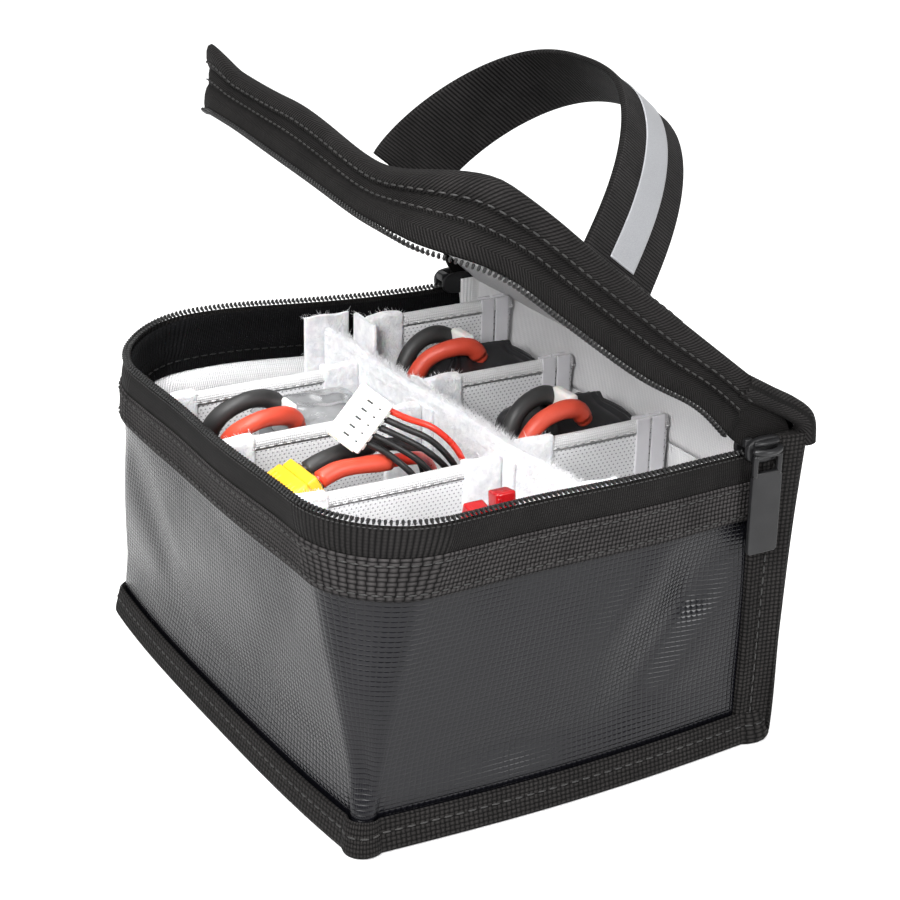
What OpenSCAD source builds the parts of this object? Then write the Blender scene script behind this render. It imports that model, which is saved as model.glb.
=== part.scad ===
// Fire-resistant carrying bag for LiPo packs, lid open, with adjustable dividers,
// a two-slider zip, a webbing handle on the lid, and the packs that stand inside.
// Origin: centre of the base on the surface it stands on. +Z up, zip opening to -Y,
// fabric hinge at +Y. Millimetres.

/* [Bag] */
// Width over the bottom binding, along the hinge
bag_w = 155; // [150:0.5:160]
// Depth over the bottom binding, front to hinge
bag_d = 122; // [120:0.5:124]
// Height of the line where the two rows of zip teeth meet
rim_h = 85.4; // [84:0.2:88]
// Height of the stitched binding round the bottom
binding_h = 9; // [7:0.5:11]
// How far the front wall leans out at the rim
front_flare = 6.5; // [5:0.5:7]
// Corner radius of the front corners at the rim
rim_r = 30; // [26:1:32]

/* [Lid] */
// Angle that the lid stands open at rest, in degrees
lid_open = 38.8; // [30:0.1:45]
// Height of the closed lid above the teeth
lid_h = 17; // [16:0.5:18]
// Distance of the zip ends, which the lid turns about, from the base centre
pivot_y = 42; // [41:0.5:43]

/* [Handle] */
// Width of the handle webbing
webbing_w = 24.4; // [22:0.2:25]
// Half of the distance between the handle's sewn ends
handle_half = 53; // [50:1:55]
// Height of the handle arch above the lid
handle_rise = 59; // [55:1:62]
// Angle that the handle leans back from square to the lid, in degrees
handle_lean = 23; // [10:1:30]

/* [Dividers] */
// Height of the top edge of the cross dividers
divider_top = 76; // [74:0.5:77]
// Thickness of a divider
divider_t = 2; // [1.6:0.1:2.4]

/* [Packs] */
// Outer diameter of a silicone main lead with its sleeve
sleeved_lead_d = 4.5; // [4:0.1:4.6]
// Outer diameter of the bare main leads
main_lead_d = 3.5; // [3.2:0.1:3.6]
// Outer diameter of a balance wire
balance_wire_d = 1.7; // [1.5:0.1:1.8]

/* [Hidden] */

// Layers of the wall, as distances in from the shell's outer face
shell_t = 1.2;
padding_in = 3.2;
lining_in = 4;
// Heights of the layers
floor_z = [1.2, 3.2, 4];
wall_top = 65;
band_z = [65.5, 76];
tape_top = 83.4;
// Gap that keeps the closed lid off the rim
gap = 0.2;
// The U of front and sides ends here; the back piece takes over
split_y = 52;
// Rest height and depth of the top edge at the hinge
hinge_edge = [62.4, 89.4];
arc_steps = 6;
big = 400;

// Half width, front, back and corner radii of the bag's outline at height z
function lean(z) = z / rim_h;
function half_w(z) = bag_w / 2 - 3.5 + 2.2 * lean(z);
function front_y(z) = -(bag_d / 2 - 3.5 + front_flare * lean(z));
function back_y(z) = bag_d / 2 - 3.5 + 4 * lean(z);
function front_r(z) = 10 + (rim_r - 10) * lean(z);
back_r = 5.5;

function arc(cx, cy, r, from) =
  [for (i = [0:arc_steps]) let (a = from + 90 * i / arc_steps) [cx + r * cos(a), cy + r * sin(a)]];
function outline(w, front, back, rf, rb) = concat(
  arc(w - rb, back - rb, rb, 0), arc(-w + rb, back - rb, rb, 90),
  arc(-w + rf, front + rf, rf, 180), arc(w - rf, front + rf, rf, 270));
function bag_outline(z, inset) = outline(half_w(z) - inset, front_y(z) + inset,
  back_y(z) - inset, front_r(z) - inset, back_r - inset);

// A solid between two outlines with the same number of points
module loft(a, za, b, zb) {
  n = len(a);
  polyhedron(
    points = concat([for (p = a) [p.x, p.y, za]], [for (p = b) [p.x, p.y, zb]]),
    faces = concat([[for (i = [0:n - 1]) i]], [[for (i = [n - 1:-1:0]) n + i]],
      [for (i = [0:n - 1]) let (j = (i + 1) % n) [i, n + i, n + j, j]]));
}
module bag_block(z0, z1, inset) {
  loft(bag_outline(z0, inset), z0, bag_outline(z1, inset), z1);
}
// A ring of wall between two insets and two heights
module bag_ring(z0, z1, inset_out, inset_in) {
  difference() {
    bag_block(z0, z1, inset_out);
    bag_block(z0 - 1, z1 + 1, inset_in);
  }
}
module ahead_of(y) {
  intersection() {
    children();
    translate([-big / 2, y - big, -big / 2]) cube(big);
  }
}
module behind(y) {
  intersection() {
    children();
    translate([-big / 2, y, -big / 2]) cube(big);
  }
}
// Plate standing across the bag: its outline in Y and Z, its place and thickness in X
module across(x, t, points) {
  translate([x - t / 2, 0, 0]) rotate([90, 0, 90]) linear_extrude(t) polygon(points);
}
function mid_curve(p, t) = 0.5 * ((2 * p[1]) + (p[2] - p[0]) * t
  + (2 * p[0] - 5 * p[1] + 4 * p[2] - p[3]) * t * t
  + (3 * p[1] - p[0] - 3 * p[2] + p[3]) * t * t * t);
// Smooth curve through the route's points, with two rings for each stretch
function smooth(route) = let (n = len(route)) concat(
  [for (i = [0:n - 2], k = [0, 1]) mid_curve([route[max(i - 1, 0)], route[i], route[i + 1],
    route[min(i + 2, n - 1)]], k / 2)], [route[n - 1]]);
function unit(v) = v / norm(v);
function heading(path, i) = unit(path[min(i + 1, len(path) - 1)] - path[max(i - 1, 0)]);
function carried(side, along) = unit(side - (side * along) * along);
function sides(path, i = 0, last = [1, 0, 0]) = i == len(path) ? []
  : let (s = carried(last, heading(path, i))) concat([s], sides(path, i + 1, s));
module lead(route, d) {
  path = smooth(route);
  side = sides(path);
  n = len(path);
  m = 8;
  rings = [for (i = [0:n - 1], k = [0:m - 1]) let (a = 360 * k / m, s = side[i],
    t = cross(heading(path, i), s)) path[i] + d / 2 * (cos(a) * s + sin(a) * t)];
  polyhedron(points = rings, faces = concat([[for (k = [m - 1:-1:0]) k]],
    [[for (k = [0:m - 1]) (n - 1) * m + k]],
    [for (i = [0:n - 2], k = [0:m - 1]) let (l = (k + 1) % m)
      [i * m + k, i * m + l, (i + 1) * m + l, (i + 1) * m + k]]));
}
// Block with rounded upright edges, centred on x and y
module block(w, d, z0, z1, r) {
  translate([0, 0, z0]) linear_extrude(z1 - z0) {
    square([w - 2 * r, d], center = true);
    square([w, d - 2 * r], center = true);
    for (sx = [-1, 1], sy = [-1, 1])
      translate([sx * (w / 2 - r), sy * (d / 2 - r)]) circle(r, $fn = 24);
  }
}

// ---- Shell of the bag ----
module bottom_panel() {
  color([0.05, 0.05, 0.055]) loft(bag_outline(0, 0.2), 0, bag_outline(0, 0.2), floor_z[0]);
}
module floor_board() {
  color([0.75, 0.75, 0.74]) bag_block(floor_z[0], floor_z[1], lining_in);
}
module floor_lining() {
  color([0.7, 0.7, 0.7]) bag_block(floor_z[1], floor_z[2], lining_in);
}
module side_shell() {
  color([0.05, 0.05, 0.055]) ahead_of(split_y) bag_ring(floor_z[0], band_z[1], 0, shell_t);
}
module back_shell() {
  color([0.05, 0.05, 0.055]) behind(split_y) bag_ring(floor_z[0], 86, 0, shell_t);
}
module side_insulation() {
  color([0.8, 0.8, 0.8]) ahead_of(split_y) bag_ring(floor_z[0], wall_top, shell_t, padding_in);
}
module back_insulation() {
  color([0.8, 0.8, 0.8]) behind(split_y) bag_ring(floor_z[0], wall_top, shell_t, padding_in);
}
module wall_lining() {
  color([0.68, 0.68, 0.68]) bag_ring(floor_z[0], wall_top, padding_in, lining_in);
}
module bottom_binding() {
  outer = outline(bag_w / 2, -bag_d / 2, bag_d / 2, 8, 3);
  inner = bag_outline(0, -0.1);
  color([0.09, 0.09, 0.09]) difference() {
    loft(outer, 0, bag_outline(binding_h, -1.6), binding_h);
    loft(inner, -1, bag_outline(binding_h, -0.1), binding_h + 0.01);
  }
}
// Bound seams that stand out at the two rear corners
module rear_bindings() {
  foot = binding_h + 0.3;
  head = hinge_edge[1] - 3.3;
  // The seam narrows above this height, to leave the slider its place
  slider_clear = 81;
  color([0.09, 0.09, 0.09]) for (side = [-1, 1]) scale([side, 1, 1]) difference() {
    across(half_w(40) + 1.4, 3.4,
      [[50, foot], [bag_d / 2 + 0.5, foot], [hinge_edge[0] + 0.8, head], [58.6, head],
        [58.6, slider_clear], [51.5, slider_clear]]);
    bag_block(0, 95, -0.1);
  }
}
module rim_band() {
  color([0.09, 0.09, 0.09]) ahead_of(49.5) bag_ring(band_z[0], band_z[1], -1.1, -0.1);
}
module inner_rim_band() {
  color([0.03, 0.03, 0.03]) bag_ring(wall_top, band_z[1], shell_t, 3.4);
}
module lower_zip_tape() {
  color([0.06, 0.06, 0.06]) ahead_of(split_y) bag_ring(band_z[1], tape_top, 0, 1.4);
}
// One row of coil teeth along the rim, with a stop at each end
module lower_zip_teeth() {
  color([0.04, 0.04, 0.04]) {
    ahead_of(pivot_y + 3.5) bag_ring(tape_top, rim_h - gap, -0.4, 1.8);
    for (side = [-1, 1]) translate([side * (half_w(84) - 1), pivot_y + 9, tape_top + 1])
      cube([2, 1.4, 1.8], center = true);
  }
}

// ---- Dividers ----
long_y = 5;
long_t = 3;
long_top = 79;
front_x = [-47, -10, 32];
hinge_x = [-50, -16, 31];
// Their tops: the left one stands well above the rest
hinge_top = [87.5, 80, 78];
tab_t = 0.9;
tab_w = 12;
// Inner face of the front and back walls at height z
function front_face(z) = front_y(z) + lining_in + tab_t + 0.4;
function back_face(z) = back_y(z) - lining_in - tab_t - 0.4;
wall_tab_top = wall_top - 1;

module long_divider() {
  reach = 2 * (half_w(floor_z[2]) - lining_in - tab_t - 0.2);
  color([0.92, 0.92, 0.92]) translate([-reach / 2, long_y - long_t / 2, floor_z[2]])
    cube([reach, long_t, long_top - floor_z[2]]);
}
module front_divider(i) {
  back = long_y - long_t / 2 - tab_t - 0.1;
  color([0.9, 0.9, 0.9]) across(front_x[i], divider_t, [[back, floor_z[2]],
    [back, divider_top], [front_face(divider_top), divider_top],
    [front_face(floor_z[2]), floor_z[2]]]);
}
module hinge_divider(i) {
  ahead = long_y + long_t / 2 + tab_t + 0.1;
  color([0.9, 0.9, 0.9]) across(hinge_x[i], divider_t, [[ahead, floor_z[2]],
    [ahead, hinge_top[i]], [back_face(divider_top) - 0.3, hinge_top[i]],
    [back_face(floor_z[2]), floor_z[2]]]);
}
// Hook-and-loop ends: a T on each end of a cross divider, a plate on the long one's ends
module divider_tabs() {
  low = floor_z[2] + 1;
  color([0.95, 0.95, 0.95]) {
    for (x = front_x) {
      across(x, tab_w, [for (p = [[low, 0], [low, tab_t], [wall_tab_top, tab_t], [wall_tab_top, 0]])
        [front_face(p.x) - 0.1 - p.y, p.x]]);
      translate([x - tab_w / 2, long_y - long_t / 2 - tab_t - 0.05, low])
        cube([tab_w, tab_t, divider_top - low]);
    }
    for (i = [0:len(hinge_x) - 1]) {
      x = hinge_x[i];
      across(x, tab_w, [for (p = [[low, 0], [low, tab_t], [wall_tab_top, tab_t], [wall_tab_top, 0]])
        [back_face(p.x) + 0.1 + p.y, p.x]]);
      translate([x - tab_w / 2, long_y + long_t / 2 + 0.05, low])
        cube([tab_w, tab_t, hinge_top[i] - 1 - low]);
    }
    for (side = [-1, 1]) {
      x = half_w(floor_z[2]) - lining_in - 0.1 - tab_t / 2;
      translate([side * x, long_y, (low + 82) / 2]) cube([tab_t, 14, 82 - low], center = true);
    }
  }
}

// ---- Lid, drawn closed and turned open about the line through the zip ends ----
lid_front = -63;
lid_back = pivot_y - 4;
lid_half = 76.2;
lid_z0 = rim_h + gap;
lid_top = rim_h + lid_h;
module on_lid() {
  translate([0, pivot_y, rim_h]) rotate([-lid_open, 0, 0])
    translate([0, -pivot_y, -rim_h]) children();
}
module lid_block(z0, z1, inset) {
  o = outline(lid_half - inset, lid_front + inset, lid_back + 30, 28 - inset, 5);
  translate([0, 0, z0]) linear_extrude(z1 - z0) polygon(o);
}
module lid_ring(z0, z1, inset_out, inset_in) {
  ahead_of(lid_back) difference() {
    lid_block(z0, z1, inset_out);
    lid_block(z0 - 1, z1 + 1, inset_in);
  }
}
module upper_zip_teeth() {
  color([0.04, 0.04, 0.04]) on_lid() lid_ring(lid_z0, lid_z0 + 1.8, -0.4, 1.8);
}
module upper_zip_tape() {
  color([0.06, 0.06, 0.06]) on_lid() lid_ring(lid_z0 + 1.8, lid_top - 8.6, 0, 1.4);
}
module lid_band() {
  color([0.09, 0.09, 0.09]) on_lid() lid_ring(lid_top - 8.6, lid_top - 4.4, 0, 1.8);
}
module lid_binding() {
  color([0.1, 0.1, 0.1]) on_lid() lid_ring(lid_top - 4.4, lid_top + 0.4, -1.2, 2.6);
}
module lid_panel() {
  color([0.05, 0.05, 0.055]) on_lid() ahead_of(lid_back) lid_block(lid_top - 1.2, lid_top, 2.8);
}
module lid_insulation() {
  color([0.8, 0.8, 0.8]) on_lid() ahead_of(lid_back)
    lid_block(lid_top - 3.2, lid_top - 1.2, 2.8);
}
module lid_lining() {
  color([0.68, 0.68, 0.68]) on_lid() ahead_of(lid_back)
    lid_block(lid_top - 4, lid_top - 3.2, 2.8);
}
// Soft stretch between the lid, the back panel and the zip ends
module hinge_gusset() {
  angle = lid_open;
  function opened(y, z) = [
    pivot_y + (y - pivot_y) * cos(angle) + (z - rim_h) * sin(angle),
    rim_h - (y - pivot_y) * sin(angle) + (z - rim_h) * cos(angle)];
  skin_a = opened(lid_back + 0.3, lid_top);
  skin_b = opened(lid_back + 0.3, lid_top - 4);
  color([0.07, 0.07, 0.07]) {
    across(0, 2 * lid_half - 4, [skin_a, skin_b, [hinge_edge[0] - 3.4, 86.4], [hinge_edge[0], hinge_edge[1]]]);
    for (side = [-1, 1]) across(side * (lid_half - 1.2), 1.4, [skin_a, [hinge_edge[0], hinge_edge[1]],
      [hinge_edge[0] - 1.4, 86.3], [pivot_y + 10.6, 86.3], [pivot_y + 7.6, rim_h + 4]]);
  }
}

// ---- Handle ----
handle_y = 1;
webbing_t = 1.8;
lean_shift = -30;
strap_z = lid_top + 0.1;
module strap_ends() {
  color([0.08, 0.08, 0.08]) on_lid() for (side = [-1, 1])
    translate([side * (handle_half + 11.5), handle_y, strap_z + webbing_t / 2])
      cube([15, webbing_w, webbing_t], center = true);
}
module on_handle() {
  on_lid() translate([0, handle_y, strap_z + 1]) rotate([-handle_lean, 0, 0]) children();
}
// Point of the arch at angle a, and the band between two angles at a distance from it
function arch(a, out) = [
  (handle_half + out) * sign(cos(a)) * pow(abs(cos(a)), 0.8) + lean_shift * sin(a),
  (handle_rise + out) * pow(sin(a), 1.25)];
function band(from, to, out, t, n = 24) = concat(
  [for (i = [0:n]) arch(from + (to - from) * i / n, out + t)],
  [for (i = [n:-1:0]) arch(from + (to - from) * i / n, out)]);
module handle_webbing() {
  // The webbing narrows to its sewn ends, so that it clears the lid as it leans
  taper = [[1, 1.5], [2.2, 7], [webbing_w / 2, 26], [webbing_w / 2, 90]];
  color([0.07, 0.07, 0.07]) on_handle() intersection() {
    rotate([90, 0, 0]) translate([0, 0, -webbing_w / 2])
      linear_extrude(webbing_w) polygon(band(2, 178, 0, webbing_t));
    across(0, big, concat([for (p = taper) [-p.x, p.y]],
      [for (i = [len(taper) - 1:-1:0]) [taper[i].x, taper[i].y]]));
  }
}
module reflective_stripe() {
  stripe_w = webbing_w * 0.36;
  color([0.72, 0.73, 0.75]) on_handle() rotate([90, 0, 0]) translate([0, 0, -stripe_w / 2])
    linear_extrude(stripe_w) polygon(band(26, 154, webbing_t + 0.2, 0.4));
}

// ---- Zip sliders ----
slider_y = 51.5;
slider_l = 11;
bail = [78.8, 84.6];
module slider() {
  z = rim_h - 0.2;
  color([0.08, 0.08, 0.085]) {
    for (x = [[72.4, 1.4], [77.2, 1.7]])
      translate([x[0], slider_y - slider_l / 2, z - 3]) cube([x[1], slider_l, 6]);
    translate([73.7, slider_y - slider_l / 2, z + 0.9]) cube([3.6, 2.2, 1.9]);
    intersection() {
      translate([bail[0], slider_y + 1.2, bail[1]]) rotate([90, 0, 0]) difference() {
        cylinder(h = 2.4, r = 3.6, $fn = 40);
        translate([0, 0, -1]) cylinder(h = 5, r = 1.9, $fn = 32);
      }
      translate([bail[0] - 0.1, 0, 70]) cube([10, 80, 30]);
    }
  }
}
pull_axis = [79.75, 84.1];
pull_l = 26.5;
pull_w = 9.2;
module pull() {
  window = [3.6, 4.6];
  color([0.1, 0.1, 0.105]) {
    translate([pull_axis[0], slider_y, 0]) difference() {
      translate([-0.7, -pull_w / 2, pull_axis[1] - pull_l]) cube([1.4, pull_w, pull_l]);
      translate([-2, -window[0] / 2, pull_axis[1] - window[1]]) cube([4, window[0], window[1] + 9]);
    }
    translate([pull_axis[0], slider_y + pull_w / 2, pull_axis[1]]) rotate([90, 0, 0])
      cylinder(h = pull_w, r = 0.8, $fn = 24);
  }
}
module slider_right() { slider(); }
module pull_right() { pull(); }
module slider_left() { mirror([1, 0, 0]) slider(); }
module pull_left() { mirror([1, 0, 0]) pull(); }

// ---- Packs and their leads ----
pack_z = floor_z[2] + 0.1;
dark_wrap = [0.06, 0.06, 0.065];
red_wire = [0.85, 0.13, 0.08];
black_wire = [0.06, 0.06, 0.06];
plug_yellow = [0.93, 0.7, 0.1];
// Shrink-wrapped cells, with the tucked-in end of the wrap on top
module pack(x, y, w, d, top) {
  translate([x, y, 0]) {
    block(w, d, pack_z, top - 2, 2.5);
    block(w - 3, d - 3, top - 2, top, 3);
  }
}
// Two-pole main connector standing in a pocket: a housing with its cable end on top
module standing_plug(x, y, z) {
  translate([x, y, z]) {
    block(15.8, 8, -16, -4, 1.6);
    block(14.4, 6.8, -4, 0, 1.4);
  }
}
a_black = [[-27, -31, 73], [-26.5, -33, 77], [-24, -38, 80], [-23, -44, 80.5], [-25, -50, 77],
  [-29, -52, 70], [-31, -49.5, 61], [-31.5, -46, 53], [-31.5, -45, 46]];
a_red = [[-17, -31, 73], [-16, -33.5, 76.5], [-14, -39, 78.5], [-14, -45, 78], [-17, -50, 74],
  [-21, -51.5, 67], [-24, -49, 59], [-24.5, -46, 52], [-24.5, -45, 46]];
b_black = [[8, -5, 60], [8, -6, 66], [9, -10, 72], [12, -16, 75.5], [14.5, -25, 77.8],
  [16, -34, 78.6], [17.9, -41, 78.2], [17.9, -47, 76]];
b_red = [[13, -5, 60], [14, -7, 66], [17.5, -12, 72.5], [21.5, -19, 75.5], [24, -27, 77],
  [25, -35, 78], [25.1, -41, 78], [25.1, -47, 76]];
c_black = [[-38, 30, 78], [-38.5, 27.5, 82.5], [-39, 22, 83.5], [-39, 16, 80],
  [-39, 12.8, 72], [-39.4, 12.4, 62], [-40.5, 12.4, 54], [-40.5, 12.4, 46]];
c_red = [[-28, 33, 78], [-28.5, 29.5, 82], [-30, 23, 82], [-32.5, 17, 78.5],
  [-33.4, 13, 71], [-33.4, 12.4, 62], [-33.5, 12.4, 54], [-33.5, 12.4, 46]];
d_black = [[15, 31, 78], [15.5, 28, 82.5], [17.5, 22, 83.5], [18.5, 16, 80.5],
  [18.5, 12.8, 72], [17.5, 12.4, 62], [15.5, 12.4, 54], [15.5, 12.4, 46]];
d_red = [[25.5, 33, 78], [26, 29.5, 82], [26, 23, 82], [25.5, 17, 78.5],
  [25, 13, 70], [24, 12.4, 62], [22.5, 12.4, 54], [22.5, 12.4, 46]];
// The balance wires, from the plug to the top of pack B
balance = [
  [[23.2, -25.2, 90.5], [26, -21.5, 88.6], [28.4, -15, 85.5], [28.6, -8, 78], [27.4, -3.6, 68], [27, -3, 60]],
  [[23.1, -26.8, 88.6], [26, -23, 86.6], [28.2, -16, 82.5], [27, -9, 75], [25, -4, 67], [24.6, -2, 60]],
  [[23.1, -28.5, 86.7], [26, -24.5, 84.6], [27.8, -17.5, 80], [25.5, -10, 73], [22.6, -5, 66], [22.2, -3, 60]],
  [[23, -30.1, 84.8], [26, -26.2, 82.6], [28.5, -20, 78], [26.5, -13, 70.5], [21, -6.5, 64.5], [19.8, -2, 60]],
  [[23, -31.8, 82.9], [26, -27.8, 80.6], [29, -23, 76], [27, -16, 68], [19.5, -9, 62.5], [17.4, -6, 60]]];
plug_tilt = -60;
plug_b_at = [21.5, -47, 76];
balance_at = [20.2, -32, 88.4];

module pack_a() { color([0.45, 0.45, 0.46]) pack(-28, -18, 31, 30, 73); }
module pack_b() { color(dark_wrap) pack(12.2, -16, 33, 32, 60); }
module pack_c() { color(dark_wrap) pack(-33, 35, 29, 33, 78); }
module pack_d() { color(dark_wrap) pack(14.2, 35, 29, 33, 78); }
module lead_a_black() { color(black_wire) lead(a_black, sleeved_lead_d); }
module lead_a_red() { color(red_wire) lead(a_red, sleeved_lead_d); }
module lead_b_black() { color(black_wire) lead(b_black, main_lead_d); }
module lead_b_red() { color(red_wire) lead(b_red, main_lead_d); }
module lead_c_black() { color(black_wire) lead(c_black, sleeved_lead_d); }
module lead_c_red() { color(red_wire) lead(c_red, sleeved_lead_d); }
module lead_d_black() { color(black_wire) lead(d_black, sleeved_lead_d); }
module lead_d_red() { color(red_wire) lead(d_red, sleeved_lead_d); }
module plug_a() { color(plug_yellow) standing_plug(-28, -45, 46); }
module plug_b() {
  color(plug_yellow) translate(plug_b_at) rotate([plug_tilt, 0, 0]) {
    block(15.8, 8, -12, -3, 1.6);
    block(14.4, 6.8, -3, 0, 1.4);
  }
}
module plug_c() { color(plug_yellow) standing_plug(-37, 12.4, 46); }
module plug_d() { color(plug_yellow) standing_plug(19, 12.4, 46); }
// Five-way balance plug, its broad face turned up to the front right
module balance_plug_b() {
  housing = [14.9, 9.8, 5.8];
  along = unit([-0.03, -0.66, -0.75]);
  out = unit(carried([0.6, 0.72, -0.35], along));
  up = cross(along, out);
  color([0.93, 0.93, 0.9]) multmatrix([
    [along.x, out.x, up.x, balance_at.x],
    [along.y, out.y, up.y, balance_at.y],
    [along.z, out.z, up.z, balance_at.z]]) difference() {
      translate(-housing / 2) cube(housing);
      for (k = [-2:2]) translate([2.5 * k - 0.5, -1.5, housing.z / 2 - 0.8]) cube([1, 2.4, 1]);
    }
}
module balance_wire(i) {
  color(i == 0 ? red_wire : black_wire) lead(balance[i], balance_wire_d);
}
// Two slim single-cell packs on end, each with its red plug folded on top
module small_packs() {
  for (p = [[61, -22.5], [58, -12.5]]) translate([p.x, p.y, 0]) {
    color([0.3, 0.3, 0.32]) block(7, 8.6, pack_z, 68, 1.5);
    color([0.7, 0.05, 0.06]) block(4.6, 5.6, 67, 79.5, 0.8);
  }
}

bottom_panel();
floor_board();
floor_lining();
side_shell();
back_shell();
side_insulation();
back_insulation();
wall_lining();
bottom_binding();
rear_bindings();
rim_band();
inner_rim_band();
lower_zip_tape();
lower_zip_teeth();
long_divider();
front_divider(0);  // front_divider_1
front_divider(1);  // front_divider_2
front_divider(2);  // front_divider_3
hinge_divider(0);  // hinge_divider_1
hinge_divider(1);  // hinge_divider_2
hinge_divider(2);  // hinge_divider_3
divider_tabs();
hinge_gusset();
lid_panel();
lid_insulation();
lid_lining();
lid_binding();
lid_band();
upper_zip_tape();
upper_zip_teeth();
strap_ends();
handle_webbing();
reflective_stripe();
slider_right();
pull_right();
slider_left();
pull_left();
pack_a();
lead_a_black();
lead_a_red();
plug_a();
pack_b();
lead_b_black();
lead_b_red();
plug_b();
balance_plug_b();
balance_wire(0);  // balance_wire_1
balance_wire(1);  // balance_wire_2
balance_wire(2);  // balance_wire_3
balance_wire(3);  // balance_wire_4
balance_wire(4);  // balance_wire_5
pack_c();
lead_c_black();
lead_c_red();
plug_c();
pack_d();
lead_d_black();
lead_d_red();
plug_d();
small_packs();
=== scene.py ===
"""Fire-resistant carrying bag for LiPo packs, with its lid open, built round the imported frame.

Lengths are in millimetres until mesh() turns them into metres. A surface point carries a "flat"
attribute, its place on the flat cloth in millimetres, and the woven materials read it.
"""

import math
import random

import bmesh
import bpy
import numpy as np
from mathutils import Matrix, Vector


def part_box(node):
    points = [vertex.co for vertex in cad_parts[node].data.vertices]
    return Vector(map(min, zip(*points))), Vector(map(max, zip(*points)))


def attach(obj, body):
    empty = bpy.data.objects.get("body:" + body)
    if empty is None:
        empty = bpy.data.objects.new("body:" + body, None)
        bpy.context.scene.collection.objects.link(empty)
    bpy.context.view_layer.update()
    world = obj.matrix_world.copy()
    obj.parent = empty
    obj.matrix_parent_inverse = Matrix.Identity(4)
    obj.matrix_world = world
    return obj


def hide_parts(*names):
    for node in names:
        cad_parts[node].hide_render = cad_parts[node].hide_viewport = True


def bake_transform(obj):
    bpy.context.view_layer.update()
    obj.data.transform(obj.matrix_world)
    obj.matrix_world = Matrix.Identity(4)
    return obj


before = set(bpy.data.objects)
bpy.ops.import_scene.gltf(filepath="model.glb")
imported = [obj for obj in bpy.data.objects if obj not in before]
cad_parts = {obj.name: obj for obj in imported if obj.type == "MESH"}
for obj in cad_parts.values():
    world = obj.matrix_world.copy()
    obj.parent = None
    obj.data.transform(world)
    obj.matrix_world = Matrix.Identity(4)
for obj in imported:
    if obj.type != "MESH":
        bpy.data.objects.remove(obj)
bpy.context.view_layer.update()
MM = 0.001


def cad(node):
    """Lowest and highest corner of a CAD node, in millimetres."""
    return np.array([list(corner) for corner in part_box(node)]) / MM


# ---- Camera, lights and floor ----
CAMERA_AT = (0.4677, -0.2699, 0.2890)
LOOK_AT = (-0.01924, 0.01785, 0.05595)
CAMERA_ROLL = 1.06
LENS = 86.3


def add_camera():
    data = bpy.data.cameras.new("camera")
    data.lens = LENS
    data.sensor_width = 36
    data.clip_start = 0.01
    camera = bpy.data.objects.new("camera", data)
    bpy.context.scene.collection.objects.link(camera)
    aim = (Vector(LOOK_AT) - Vector(CAMERA_AT)).to_track_quat("-Z", "Y").to_matrix().to_4x4()
    roll = Matrix.Rotation(math.radians(CAMERA_ROLL), 4, "Z")
    camera.matrix_world = Matrix.Translation(CAMERA_AT) @ aim @ roll
    bpy.context.scene.camera = camera


def add_light(name, at, size, power, target=(0, 0, 0.06)):
    data = bpy.data.lights.new(name, "AREA")
    data.shape = "RECTANGLE"
    data.size, data.size_y = size
    data.energy = power
    light = bpy.data.objects.new(name, data)
    bpy.context.scene.collection.objects.link(light)
    aim = (Vector(target) - Vector(at)).to_track_quat("-Z", "Y").to_matrix().to_4x4()
    light.matrix_world = Matrix.Translation(at) @ aim


def add_studio():
    add_light("key_over", (0.15, -0.25, 1.1), (0.9, 0.9), 19)
    add_light("fill_right", (1.1, 0.35, 0.45), (0.35, 0.6), 10)
    add_light("fill_left", (-0.25, -1.2, 0.4), (0.7, 0.35), 0.4)
    add_light("front_top", (0.5, -0.75, 1.0), (0.5, 0.5), 4)
    add_light("mouth", (0.3, -0.42, 0.4), (0.2, 0.2), 3.6, (0, 0.04, 0.085))
    add_light("rim_back", (-0.7, 0.9, 0.9), (0.9, 0.6), 6)
    world = bpy.data.worlds.new("studio")
    world.use_nodes = True
    world.node_tree.nodes["Background"].inputs["Color"].default_value = (1, 1, 1, 1)
    world.node_tree.nodes["Background"].inputs["Strength"].default_value = 0.3
    bpy.context.scene.world = world
    bpy.context.scene.view_settings.view_transform = "Standard"


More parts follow.
